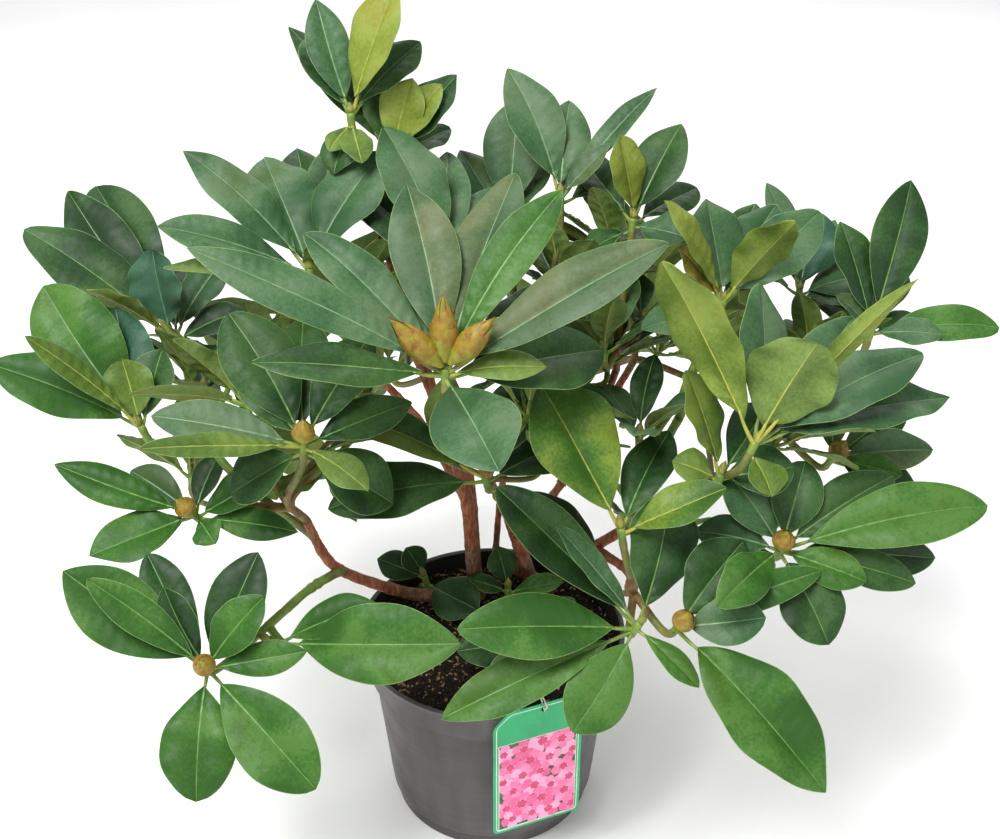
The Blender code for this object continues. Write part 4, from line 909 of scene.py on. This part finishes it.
def make_limbs():
    """Make every limb; its path and radii are returned by name, and the skins of all of them."""
    limbs = {}
    skins = []
    for name, parent, share, base, tip, way in LIMBS:
        points = [Vector(point) * MM for point in way]
        base *= MM
        tip *= MM
        from_soil = parent == "soil"
        if from_soil:
            points[0].z = SOIL_TOP
            above = [points[0] + UP * SUNK, *points[1:]]
            path = [points[0] - UP * SUNK, *smooth_path(above, SMOOTH_STEPS)]
        else:
            solid_parent, parent_base, parent_tip = limbs[parent]
            place, direction = along(solid_parent, share)
            outward = (points[0] - place).normalized()
            cosine = abs(outward.dot(direction))
            sine = sqrt(1 - cosine * cosine)
            parent_radius = parent_base + (parent_tip - parent_base) * share
            foot = place + outward * (parent_radius * FLAT_SIDE + GAP + base * cosine) / sine
            points.insert(0, foot)
            path = [place, *smooth_path(points, SMOOTH_STEPS)]
        skins.append(add_limb(name, even_path(path, LIMB_STEP), base, tip, from_soil))
        limbs[name] = (smooth_path(points, SOLID_STEPS), base, tip)
    return limbs, skins


def shoot_start(foot):
    """Where a basal shoot's stem starts."""
    return Vector((foot[0] * MM, foot[1] * MM, SOIL_TOP + GAP))


def solid_shoot_path(foot, whorls):
    """A basal shoot's path as the solid model has it."""
    start = shoot_start(foot)
    site = Vector(whorls[0][0]) * MM
    path = twig_path(start, UP, site, heading(*whorls[0][1]))[:-5]
    return [start, start + UP * STUB, *path[1:], site.lerp(path[-1], 0.5), site]


def grow_foliage(limbs, skins):
    chance = random.Random(RANDOM_SEED)
    for name, limb, whorls, finer in MASSES:
        path, _, tip = limbs[limb]
        direction = (path[-1] - path[-2]).normalized()
        grow_mass(name, path[-1] + direction * GAP, direction, min(tip, TWIG_RADIUS), whorls, finer,
                  limb not in GREEN_LIMBS, skins, chance)
    for name, foot, whorls in BASAL_SHOOTS:
        grow_mass(name, shoot_start(foot), UP, SHOOT_RADIUS, whorls, (), False, skins, chance)


# ---- Pot ----
def arc(centre, radius, first, last, steps):
    """Points of an arc in the profile plane, by angle in degrees."""
    turns = [polar(radius, radians(first + (last - first) * k / steps)) for k in range(steps + 1)]
    return [(centre[0] + x, centre[1] + y) for x, y in turns]


def wall_profile():
    """The outer wall from the collar down: a slope with a faint ripple and one raised bead."""
    wall = []
    for k in range(WALL_ROWS):
        height = COLLAR - 0.6 * MM - (COLLAR - FOOT_HEIGHT - 2 * MM) * k / (WALL_ROWS - 1)
        slope = (WALL_TOP_RADIUS - WALL_FOOT_RADIUS) * (height - FOOT_HEIGHT) / (COLLAR - FOOT_HEIGHT)
        ripple = 0.1 * MM * sin(k * 2.1)
        bead = 0.5 * MM * exp(-((height - BEAD_HEIGHT) / (1.1 * MM)) ** 2)
        wall.append((WALL_FOOT_RADIUS + slope + ripple + bead, height))
    return wall


def make_pot():
    """The pot is turned from a profile that runs up inside and down outside, then drilled."""
    inside = [(0.5 * MM, WALL), (FOOT_RADIUS - WALL, WALL), (FOOT_RADIUS - WALL, FOOT_HEIGHT + WALL),
              (WALL_FOOT_RADIUS - WALL, FOOT_HEIGHT + WALL), (WALL_TOP_RADIUS - WALL, COLLAR + WALL),
              (BAND_FOOT_RADIUS - WALL, COLLAR + WALL), (RIM_RADIUS - 2 * WALL, POT_HEIGHT - 1.2 * MM)]
    rim = arc((RIM_RADIUS - LIP_ROUND, POT_HEIGHT - LIP_ROUND), LIP_ROUND, 110, -60, 10)
    lip = [(RIM_RADIUS - 1.2 * MM, POT_HEIGHT - 3.4 * MM)]
    band = [(RIM_RADIUS - 2.4 * MM - 4.1 * MM * k / 6, POT_HEIGHT - 5 * MM - 23.5 * MM * k / 6)
            for k in range(7)]
    step = arc((BAND_FOOT_RADIUS - STEP_ROUND, COLLAR + 1.6 * MM), STEP_ROUND, 10, -80, 6)
    foot = [(WALL_FOOT_RADIUS - 0.5 * MM, FOOT_HEIGHT), (FOOT_RADIUS + 0.3 * MM, FOOT_HEIGHT - WALL)]
    base = arc((FOOT_RADIUS - BASE_ROUND, BASE_ROUND), BASE_ROUND, 0, -90, 6)
    profile = inside + rim + lip + band + step + wall_profile() + foot + base + [(0.5 * MM, 0)]
    points = []
    for radius, height in profile:
        for k in range(POT_SEGMENTS):
            angle = tau * k / POT_SEGMENTS
            dent = 1 + DENT * sin(3 * angle + 1) * min(1, height / POT_HEIGHT)
            points.append(Vector((*polar(radius * dent, angle), height)))
    faces = turned_faces(len(profile), POT_SEGMENTS)
    # Painted shade: the faces of the inside profile get a near-black colour that stands in for the shade in
    # the pot's hollow; the plastic is the same grey as outside.
    painted_shade_faces = (len(inside) - 1) * POT_SEGMENTS
    heap = Heap()
    heap.add(points, faces, ["pot_inside"] * painted_shade_faces + ["pot"] * (len(faces) - painted_shade_faces))
    drill(heap.make("pot_shell", "pot", "pot", sharp=radians(50)))


def drill(pot):
    """Cut the drain holes and remove the cutters."""
    cutters = []
    for x, y in circle(DRAIN_RING_RADIUS, DRAIN_COUNT):
        bpy.ops.mesh.primitive_cylinder_add(vertices=24, radius=DRAIN_RADIUS, depth=4 * WALL,
                                            location=(x, y, 0))
        cutters.append(bpy.context.object)
        cut = pot.modifiers.new("Drain", "BOOLEAN")
        cut.operation = "DIFFERENCE"
        cut.object = cutters[-1]
    pot.data = bpy.data.meshes.new_from_object(pot.evaluated_get(bpy.context.evaluated_depsgraph_get()))
    pot.modifiers.clear()
    for cutter in cutters:
        bpy.data.objects.remove(cutter, do_unlink=True)


# ---- Soil ----
def soil_height(x, y):
    rough = sum(lumps(Vector((x, y, 0)), *size) for size in SOIL_ROUGHNESS)
    edge = min(1, (SOIL_RADIUS - hypot(x, y)) / (12 * MM))
    return SOIL_TOP - 1.2 * MM + rough * (0.4 + 0.6 * edge)


def make_soil():
    """A rough bed that fills the pot, with loose grains, bark crumbs and fibres on it."""
    points = []
    for ring in range(1, SOIL_RINGS + 1):
        for x, y in circle(SOIL_RADIUS * ring / SOIL_RINGS, SOIL_SEGMENTS):
            points.append(Vector((x, y, soil_height(x, y))))
    sides = ((BAND_FOOT_RADIUS - 2 * WALL, COLLAR + 2 * WALL),
             (WALL_TOP_RADIUS - 2.5 * WALL, COLLAR + WALL),
             (FOOT_RADIUS - 2 * WALL, FOOT_HEIGHT + WALL), (FOOT_RADIUS - 2 * WALL, 2 * WALL))
    for radius, height in sides:
        points += [Vector((x, y, height)) for x, y in circle(radius, SOIL_SEGMENTS)]
    bed = Heap()
    bed.add(points, turned_faces(SOIL_RINGS + len(sides), SOIL_SEGMENTS), "soil")
    bed.make("soil_bed", "soil", "soil")

    shape = bmesh.new()
    bmesh.ops.create_icosphere(shape, subdivisions=1, radius=1)
    corners = [vert.co.copy() for vert in shape.verts]
    faces = [tuple(vert.index for vert in face.verts) for face in shape.faces]
    shape.free()
    grains = Heap()
    chance = random.Random(RANDOM_SEED)
    for _ in range(GRAIN_COUNT):
        radius = SOIL_RADIUS * 0.985 * sqrt(chance.random())
        x, y = polar(radius, chance.uniform(0, tau))
        size = chance.uniform(*GRAIN_SIZES) ** GRAIN_POWER * MM
        long = chance.choice(GRAIN_LENGTHS)
        spin = Quaternion([chance.gauss(0, 1) for _ in range(4)]).normalized().to_matrix()
        middle = Vector((x, y, soil_height(x, y) + 0.3 * size))
        flat = chance.uniform(0.4, 0.9)
        body = [middle + spin @ Vector((c.x * size * long, c.y * size, c.z * size * flat))
                * chance.uniform(0.75, 1.15) for c in corners]
        grains.add(body, faces, chance.choice(GRAIN_LOOKS))
    grains.make("soil_grains", "soil")


# ---- Materials ----
MATERIALS = {}
# A leaf's upper side by the letter of its tint: its shaded, usual and bleached colour.
LEAF_COLOURS = {
    "b": ((44, 78, 44), (62, 96, 58), (82, 108, 76)),
    "t": ((33, 69, 50), (45, 84, 62), (60, 98, 76)),
    "d": ((26, 52, 22), (36, 70, 28), (56, 88, 42)),
    "g": ((39, 80, 21), (52, 96, 31), (74, 114, 47)),
    "l": ((68, 94, 31), (85, 110, 41), (101, 124, 56)),
    "y": ((97, 113, 31), (115, 130, 45), (132, 146, 64)),
    "m": ((60, 84, 20), (76, 99, 28), (94, 113, 42)),
    "k": ((50, 86, 24), (74, 108, 34), (112, 132, 44)),
    "w": ((58, 82, 44), (76, 94, 56), (94, 106, 72)),
    "v": ((46, 76, 46), (60, 89, 57), (79, 101, 72)),
    "o": ((97, 90, 31), (121, 112, 43), (140, 128, 63)),
}
LEAF_STAIN = (1.14, 0.98, 0.92)  # the brown cast of a weathered patch, channel by channel
# Leaves whose two halves catch the light as different tints: left and right of the midrib.
HALVES = {"w": "vw", "u": "wv", "e": "ld"}
# Which midrib and which underside go with each tint.
TONES = {
    **dict.fromkeys("btwu", ("pale", "plain")), **dict.fromkeys("dg", ("green", "plain")),
    **dict.fromkeys("lymoe", ("yellow", "bright")), "k": ("yellow", "plain"),
}
UNDER_COLOURS = {
    "plain": ((84, 108, 46), (104, 128, 60), (122, 144, 76)),
    "bright": ((86, 108, 34), (106, 128, 46), (126, 146, 64)),
}
PETAL_COLOURS = ((226, 88, 142), (238, 110, 160), (246, 134, 178), (250, 160, 196))
# Plain surfaces: name, the two colours of the grain, its scale, roughness, relief in mm, and the specular
# level where it isn't the usual one.
PLAIN_SURFACES = (
    ("rib_pale", (88, 124, 78), (112, 144, 96), 160, 0.42, 0.05),
    ("rib_green", (74, 118, 50), (102, 142, 68), 160, 0.42, 0.05),
    ("rib_yellow", (128, 142, 52), (156, 164, 74), 160, 0.42, 0.05),
    ("petiole_pale", (104, 128, 60), (142, 156, 82), 120, 0.46, 0.08),
    ("petiole_green", (96, 128, 44), (134, 154, 64), 120, 0.46, 0.08),
    ("petiole_yellow", (138, 148, 48), (172, 168, 70), 120, 0.46, 0.08),
    ("under_rib", (150, 154, 58), (178, 176, 80), 180, 0.5, 0.05),
    ("margin", (96, 134, 66), (130, 160, 92), 260, 0.46, 0.03),
    ("bud_core", (118, 118, 30), (142, 134, 38), 220, 0.5, 0.08),
    ("bud_scale", (126, 132, 34), (158, 148, 46), 240, 0.46, 0.10),
    ("bud_flush", (125, 106, 31), (154, 125, 42), 240, 0.5, 0.10),
    ("bud_rim", (124, 80, 28), (150, 102, 38), 420, 0.58, 0.12),
    ("tip_core", (84, 110, 36), (116, 136, 50), 220, 0.5, 0.08),
    ("tip_scale", (98, 122, 42), (134, 148, 62), 240, 0.46, 0.10),
    ("tip_flush", (110, 111, 43), (143, 140, 64), 240, 0.5, 0.10),
    ("tip_rim", (122, 100, 44), (152, 132, 66), 420, 0.58, 0.12),
    ("shoot", (84, 118, 36), (124, 146, 58), 90, 0.45, 0.10),
    ("twig", (92, 100, 42), (124, 122, 60), 120, 0.52, 0.14),
    ("bark_young", (108, 78, 42), (136, 112, 60), 130, 0.6, 0.2),
    # Painted shade: the pot's inside, coloured near black for the shade in its hollow.
    ("pot_inside", (20, 19, 19), (34, 32, 32), 60, 0.6, 0.1),
    ("grain_dark", (14, 11, 9), (36, 28, 22), 700, 0.9, 0.2, 0.25),
    ("grain_brown", (46, 33, 22), (80, 58, 38), 700, 0.9, 0.2, 0.25),
    ("grain_tan", (104, 82, 54), (140, 112, 76), 700, 0.9, 0.2, 0.25),
    ("grain_pale", (132, 118, 96), (164, 148, 124), 700, 0.9, 0.2, 0.25),
    ("tag_plastic", (22, 158, 98), (30, 176, 112), 30, 0.3, 0.02, 0.5),
    ("tag_line", (206, 226, 208), (222, 238, 222), 200, 0.34, 0.01),
    ("tag_ground", (34, 70, 44), (70, 108, 62), 160, 0.34, 0.01),
    ("tag_leaf", (52, 104, 58), (92, 140, 84), 220, 0.34, 0.01),
    ("tag_eye", (198, 50, 104), (222, 76, 124), 300, 0.34, 0.01),
    ("tag_stamen", (250, 224, 214), (255, 240, 230), 300, 0.34, 0.01),
    ("tie", (196, 196, 184), (222, 222, 212), 500, 0.5, 0.03),
    ("floor", (250, 250, 250), (254, 254, 254), 3, 0.8, 0.01, 0.1),
)


def linear(colour):
    """A colour given on the screen's scale of 0 to 255, as linear light."""
    shares = [value / 255 for value in colour]
    return (*[v / 12.92 if v <= 0.04045 else ((v + 0.055) / 1.055) ** 2.4 for v in shares], 1)


class Surface:
    """A Principled material with colour, roughness and bump from patterns in the plant's own space."""

    def __init__(self, name, roughness, specular=0.5):
        material = bpy.data.materials.new(name)
        material.use_nodes = True
        self.nodes = material.node_tree.nodes
        self.links = material.node_tree.links
        self.shader = self.nodes["Principled BSDF"]
        self.shader.inputs["Roughness"].default_value = roughness
        self.shader.inputs["Specular IOR Level"].default_value = specular
        self.place = self.nodes.new("ShaderNodeTexCoord").outputs["Object"]
        MATERIALS[name] = material

    def node(self, kind, source, entry, **values):
        """A new node fed by the source; in the names of the sockets set, a low line stands for a space."""
        node = self.nodes.new("ShaderNode" + kind)
        for socket, value in values.items():
            node.inputs[socket.replace("_", " ")].default_value = value
        self.links.new(source, node.inputs[entry])
        return node

    def noise(self, scale, detail=3, stretch=None, distortion=0):
        source = self.place
        if stretch:
            source = self.node("Mapping", source, "Vector", Scale=stretch).outputs["Vector"]
        node = self.node("TexNoise", source, "Vector", Scale=scale, Detail=detail, Distortion=distortion)
        return node.outputs["Fac"]

    def cells(self, scale):
        node = self.node("TexVoronoi", self.place, "Vector", Scale=scale)
        node.feature = "DISTANCE_TO_EDGE"
        return node.outputs["Distance"]

    def add(self, first, second, share):
        """The two patterns mixed, with so much of the second."""
        node = self.node("Mix", first, "A", Factor=share)
        self.links.new(second, node.inputs["B"])
        return node.outputs["Result"]

    def colour(self, pattern, *stops):
        """The base colour, read off a ramp by the pattern; each stop is a place and a colour."""
        ramp = self.node("ValToRGB", pattern, "Fac")
        elements = ramp.color_ramp.elements
        elements[0].position, elements[1].position = stops[0][0], stops[-1][0]
        elements[0].color, elements[1].color = linear(stops[0][1]), linear(stops[-1][1])
        for place, colour in stops[1:-1]:
            elements.new(place).color = linear(colour)
        self.links.new(ramp.outputs["Color"], self.shader.inputs["Base Color"])

    def roughness(self, pattern, low, high):
        spread = self.node("MapRange", pattern, "Value",
                           From_Min=0.3, From_Max=0.7, To_Min=low, To_Max=high)
        self.links.new(spread.outputs["Result"], self.shader.inputs["Roughness"])

    def bump(self, pattern, depth, strength):
        """Relief so deep; a second call lays another pattern over the first."""
        node = self.node("Bump", pattern, "Height", Distance=depth, Strength=strength)
        before = self.shader.inputs["Normal"].links
        if before:
            self.links.new(before[0].from_socket, node.inputs["Normal"])
        self.links.new(node.outputs["Normal"], self.shader.inputs["Normal"])


def leaf_surface(name, colours, low, high, depth):
    """Satin leaf skin: wide clouds of colour, fine mottling, and a net of the smallest veins."""
    surface = Surface(name, (low + high) / 2, 0.26)
    clouds = surface.noise(15, 2, distortion=0.5)
    mottle = surface.noise(420)
    shade, usual, bleached = colours
    stained = [channel * stain for channel, stain in zip(usual, LEAF_STAIN)]
    surface.colour(surface.add(clouds, mottle, 0.22),
                   (0.4, shade), (0.49, usual), (0.57, bleached), (0.66, stained))
    surface.roughness(surface.noise(90), low, high)
    surface.bump(surface.cells(520), depth, 0.35)
    surface.bump(surface.noise(1500, 2), depth * 0.4, 0.4)


def plain_surface(name, first, second, scale, rough, depth, specular=0.45):
    """A surface of two colours in one grain, with relief of the same grain and of a finer one."""
    surface = Surface(name, rough, specular)
    grain = surface.noise(scale, 4)
    surface.colour(grain, (0.36, first), (0.64, second))
    surface.roughness(surface.noise(scale * 0.6), rough - 0.07, rough + 0.07)
    surface.bump(grain, depth * MM, 0.6)
    surface.bump(surface.noise(scale * 4, 2), depth * MM * 0.4, 0.5)


def bark_surface(name, depth, *stops):
    """Bark: colour in long streaks and flakes, with cracks along the stem."""
    surface = Surface(name, 0.72, 0.35)
    streaks = surface.noise(420, 4, (1, 1, 0.22))
    flakes = surface.noise(90, 4, distortion=0.8)
    surface.colour(surface.add(streaks, flakes, 0.5), *stops)
    surface.roughness(flakes, 0.6, 0.85)
    surface.bump(streaks, depth, 0.8)
    surface.bump(surface.noise(1300), depth * 0.4, 0.6)


def make_materials():
    for tint, colours in LEAF_COLOURS.items():
        leaf_surface("leaf_" + tint, colours, 0.44, 0.6, 0.08 * MM)
    for tone, colours in UNDER_COLOURS.items():
        leaf_surface("under_" + tone, colours, 0.5, 0.64, 0.12 * MM)
    for row in PLAIN_SURFACES:
        plain_surface(*row)
    for i, colour in enumerate(PETAL_COLOURS):
        paler = [min(255, value + 14) for value in colour]
        plain_surface(f"tag_petal_{i}", colour, paler, 260, 0.34, 0.01)
    bark_surface("bark", 0.35 * MM, (0.34, (92, 52, 34)), (0.5, (144, 82, 54)), (0.66, (176, 118, 88)))
    bark_surface("bark_old", 0.55 * MM, (0.32, (70, 48, 36)), (0.5, (120, 80, 58)), (0.68, (156, 128, 106)))

    pot = Surface("pot", 0.42)
    clouds = pot.noise(9, 4, distortion=0.5)
    streaks = pot.noise(60, 4, (1, 1, 0.15))
    pot.colour(pot.add(clouds, streaks, 0.4),
               (0.34, (62, 57, 57)), (0.5, (76, 71, 71)), (0.68, (96, 91, 90)))
    pot.roughness(pot.noise(40, 5), 0.36, 0.56)
    pot.bump(pot.noise(900), 0.05 * MM, 0.5)
    pot.bump(pot.noise(14, 2), 0.5 * MM, 0.3)

    soil = Surface("soil", 0.95, 0.2)
    crumbs = soil.noise(420, 6, distortion=0.6)
    soil.colour(soil.add(crumbs, soil.noise(60), 0.35),
                (0.38, (10, 8, 7)), (0.56, (28, 22, 18)), (0.72, (74, 58, 40)))
    soil.bump(crumbs, 0.9 * MM, 0.9)
    soil.bump(soil.cells(700), 0.4 * MM, 0.6)


# ---- Label ----
TAG_OUT = Vector((sin(TAG_TURN), -cos(TAG_TURN), 0))
TAG_RIGHT = Vector((cos(TAG_TURN), sin(TAG_TURN), 0))


def tag_place(sideways, height, back):
    """A point of the label: right of its middle, up from the ground, and out from its back face."""
    return TAG_OUT * (RIM_RADIUS + TAG_CLEAR + back) + TAG_RIGHT * (TAG_SHIFT + sideways) + UP * height


def rounded(outline, radius, steps=5):
    """The outline with each corner replaced by a short curve."""
    result = []
    for i in range(len(outline)):
        corner = Vector(outline[i])
        before = (Vector(outline[i - 1]) - corner).normalized() * radius
        after = (Vector(outline[(i + 1) % len(outline)]) - corner).normalized() * radius
        for k in range(steps + 1):
            t = k / steps
            result.append(corner + before * (1 - t) ** 2 + after * t * t)
    return result


def tag_outline(inset):
    half = TAG_WIDTH / 2 - inset
    bottom = -TAG_HEIGHT + inset
    top = half - TAG_TRIM + inset / 2
    return rounded(((-half, bottom), (half, bottom), (half, -TAG_TRIM), (top, -inset), (-top, -inset),
                    (-half, -TAG_TRIM)), TAG_CORNER - inset / 2)


def curve_mesh(name, look, loops, **settings):
    """The mesh of a curve of closed loops with such settings, in one material."""
    curve = bpy.data.curves.new(name, "CURVE")
    for key, value in settings.items():
        setattr(curve, key, value)
    for loop in loops:
        spline = curve.splines.new("POLY")
        spline.points.add(len(loop) - 1)
        for point, place in zip(spline.points, loop):
            point.co = (*Vector(place).to_3d(), 1)
        spline.use_cyclic_u = True
    guide = add_object(name + "_guide", curve)
    bpy.context.view_layer.update()
    mesh = bpy.data.meshes.new_from_object(guide.evaluated_get(bpy.context.evaluated_depsgraph_get()))
    bpy.data.objects.remove(guide)
    mesh.materials.clear()
    mesh.materials.append(MATERIALS[look])
    mesh.name = name
    return mesh


def make_tag_plate():
    """The label's plate: a flat curve with a hole, thickened, with a small round on every edge."""
    hole = [(TAG_HOLE_SHIFT + x, -TAG_HOLE_DROP + y) for x, y in circle(TAG_HOLE_RADIUS, 32)]
    mesh = curve_mesh("tag_plate", "tag_plastic", (tag_outline(0), hole), dimensions="2D", fill_mode="BOTH",
                      extrude=TAG_THICKNESS / 2 - TAG_EDGE_ROUND, bevel_depth=TAG_EDGE_ROUND,
                      bevel_resolution=1, offset=-TAG_EDGE_ROUND)
    move = Matrix.Translation(tag_place(0, TAG_TOP, TAG_THICKNESS / 2))
    mesh.transform(move @ Matrix.Rotation(TAG_TURN, 4, "Z") @ Matrix.Rotation(pi / 2, 4, "X"))
    place_piece("tag_plate", mesh, "tag", "tag")


def on_label(outline, layer):
    """The outline as points of such a printed layer on the label's front."""
    return [tag_place(x, TAG_TOP + y, TAG_THICKNESS + layer * PRINT_STEP) for x, y in outline]


def add_print(heap, outline, layer, look):
    """A flat printed shape, cut off at the picture's edges: a fan from its middle, with a thin edge."""
    half = PICTURE_HALF_WIDTH
    outline = [(max(-half, min(half, x)), max(PICTURE_BOTTOM, min(PICTURE_TOP, y))) for x, y in outline]
    count = len(outline)
    middle = sum((Vector(point) for point in outline), Vector((0, 0))) / count
    faces = []
    for i in range(count):
        after = (i + 1) % count
        faces.append((2 * count, i, after))
        faces.append((i, count + i, count + after, after))
    heap.add(on_label(outline, layer) + on_label(outline, -1) + on_label([middle], layer), faces, look)


def add_line(heap, outer, inner, layer):
    """A flat pale line between two outlines of as many points."""
    count = len(outer)
    faces = []
    for i in range(count):
        after = (i + 1) % count
        faces.append((i, after, count + after, count + i))
        faces.append((i, 2 * count + i, 2 * count + after, after))
        faces.append((count + after, 3 * count + after, 3 * count + i, count + i))
    heap.add(on_label(outer, layer) + on_label(inner, layer) + on_label(outer, -1) + on_label(inner, -1),
             faces, "tag_line")


def petal(middle, turn, size):
    """A rounded, slightly notched petal that springs from the flower's middle."""
    outline = []
    for k in range(13):
        t = k / 12 * 2 - 1
        reach = size * (0.98 - 0.10 * exp(-(t / 0.16) ** 2)) * cos(0.42 * pi * t) ** 0.35
        x, y = polar(reach, turn + t * 0.66)
        outline.append((middle[0] + x, middle[1] + y))
    return [*outline, middle]


def picture_frame(margin):
    """The picture's four corners, so far outside its edges."""
    half = PICTURE_HALF_WIDTH + margin
    bottom = PICTURE_BOTTOM - margin
    top = PICTURE_TOP + margin
    return ((-half, bottom), (half, bottom), (half, top), (-half, top))


def make_tag_print():
    """A pale line round the label, and a picture of plain five-petalled blossoms over leaves."""
    chance = random.Random(RANDOM_SEED)

    def jitter():
        return chance.uniform(-BLOSSOM_JITTER, BLOSSOM_JITTER) * MM

    heap = Heap()
    add_line(heap, tag_outline(TAG_BORDER), tag_outline(TAG_BORDER + LINE_WIDTH), 1)
    add_print(heap, picture_frame(0), 1, "tag_ground")
    add_line(heap, picture_frame(PICTURE_LINE), picture_frame(0), 1.5)
    for i in range(PRINTED_LEAVES):
        x = chance.uniform(-PICTURE_HALF_WIDTH, PICTURE_HALF_WIDTH)
        y = chance.uniform(PICTURE_BOTTOM, PICTURE_TOP)
        turn = chance.uniform(0, tau)
        long = chance.uniform(6, 11) * MM
        blade = []
        for forward, sideways in circle(1, 12):
            ahead = long * forward
            aside = long * 0.3 * sideways * (1 - 0.3 * forward)
            blade.append((x + ahead * cos(turn) - aside * sin(turn),
                          y + ahead * sin(turn) + aside * cos(turn)))
        add_print(heap, blade, 2 + 0.1 * i, "tag_leaf")
    layer = 6
    for row in range(BLOSSOM_ROWS):
        for column in range(BLOSSOM_COLUMNS):
            x = (column - 1.5 + 0.5 * (row % 2) - 0.25) * BLOSSOM_STEP[0] + jitter()
            y = PICTURE_TOP - 8 * MM - row * BLOSSOM_STEP[1] + jitter()
            size = chance.uniform(*BLOSSOM_SIZES) * MM
            turn = chance.uniform(0, tau)
            shade = chance.randrange(len(PETAL_COLOURS))
            turns = [turn + tau * k / PETALS for k in range(PETALS)]
            for k, aim in enumerate(turns):
                look = f"tag_petal_{(shade + k % 2) % len(PETAL_COLOURS)}"
                add_print(heap, petal((x, y), aim, size), layer + 0.12 * k, look)
            for aim in turns:
                add_print(heap, petal((x, y), aim, size * EYE_SHARE), layer + 0.8, "tag_eye")
            for k in range(STAMENS):
                across, up = polar(size * 0.34, turn + tau * k / STAMENS)
                speck = [(x + across + dx, y + up + dy) for dx, dy in circle(STAMEN_RADIUS, 8)]
                add_print(heap, speck, layer + 1, "tag_stamen")
            layer += 0.5
    heap.make("tag_print", "tag", sharp=radians(30))


def make_tag_loop():
    """The label's tie, on the route of the solid one."""
    _, foot, whorls = BASAL_SHOOTS[-1]
    stem, upward = along(solid_shoot_path(foot, whorls), LOOP_SHARE)
    hole = tag_place(TAG_HOLE_SHIFT, TAG_TOP - TAG_HOLE_DROP, TAG_THICKNESS / 2)
    seat = hole + UP * (TAG_HOLE_RADIUS - LOOP_RADIUS - 3 * GAP)
    pull = (hole - stem).normalized()
    pull = (pull - upward * pull.dot(upward)).normalized()
    across = upward.cross(pull)
    turn = SHOOT_RADIUS + LOOP_RADIUS + 2 * GAP
    points = []
    for k in range(LOOP_TURN_STEPS + 1):
        angle = pi * k / LOOP_TURN_STEPS
        points.append(stem + across * turn * cos(angle) - pull * turn * sin(angle))
    over_label = hole + UP * (TAG_HOLE_DROP + 2.5 * MM)
    before_label = hole + UP * TAG_HOLE_DROP / 2 + TAG_OUT * 3 * MM
    points += [over_label, before_label, seat + TAG_OUT * 2 * MM, seat, seat - TAG_OUT * 2 * MM]
    path = smooth_path([points[-1], *points, points[0], points[1]], 6)[6:-12]
    mesh = curve_mesh("tag_tie", "tie", (path,), dimensions="3D", bevel_depth=LOOP_RADIUS,
                      bevel_resolution=3)
    mesh.shade_smooth()
    place_piece("tag_tie", mesh, "tie", "tag_loop")


# ---- Camera, floor and light ----
def make_studio():
    scene = bpy.context.scene
    camera = add_object("camera", bpy.data.cameras.new("camera"))
    camera.data.lens = CAMERA_LENS
    camera.data.sensor_width = SENSOR_WIDTH
    camera.location = CAMERA_PLACE
    camera.rotation_euler = (pi / 2 - CAMERA_PITCH, 0, 0)
    scene.camera = camera

    half = FLOOR_SIZE / 2
    mesh = bpy.data.meshes.new("floor")
    corners = [(-half, -half, 0), (half, -half, 0), (half, half, 0), (-half, half, 0)]
    mesh.from_pydata(corners, [], [(0, 1, 2, 3)])
    mesh.materials.append(MATERIALS["floor"])
    add_object("floor", mesh)

    world = bpy.data.worlds.new("studio")
    world.use_nodes = True
    sky = world.node_tree.nodes["Background"]
    sky.inputs["Color"].default_value = (1, 1, 1, 1)
    sky.inputs["Strength"].default_value = SKY_STRENGTH
    scene.world = world
    for name, place, power, size in LIGHTS:
        lamp = bpy.data.lights.new(name, "AREA")
        lamp.energy = power
        lamp.size = size
        light = add_object(name, lamp)
        light.location = place
        light.rotation_euler = (AIM - Vector(place)).to_track_quat("-Z", "Y").to_euler()
    scene.view_settings.view_transform = "Standard"


make_materials()
make_pot()
make_soil()
make_tag_plate()
make_tag_print()
make_tag_loop()
grow_foliage(*make_limbs())
make_studio()
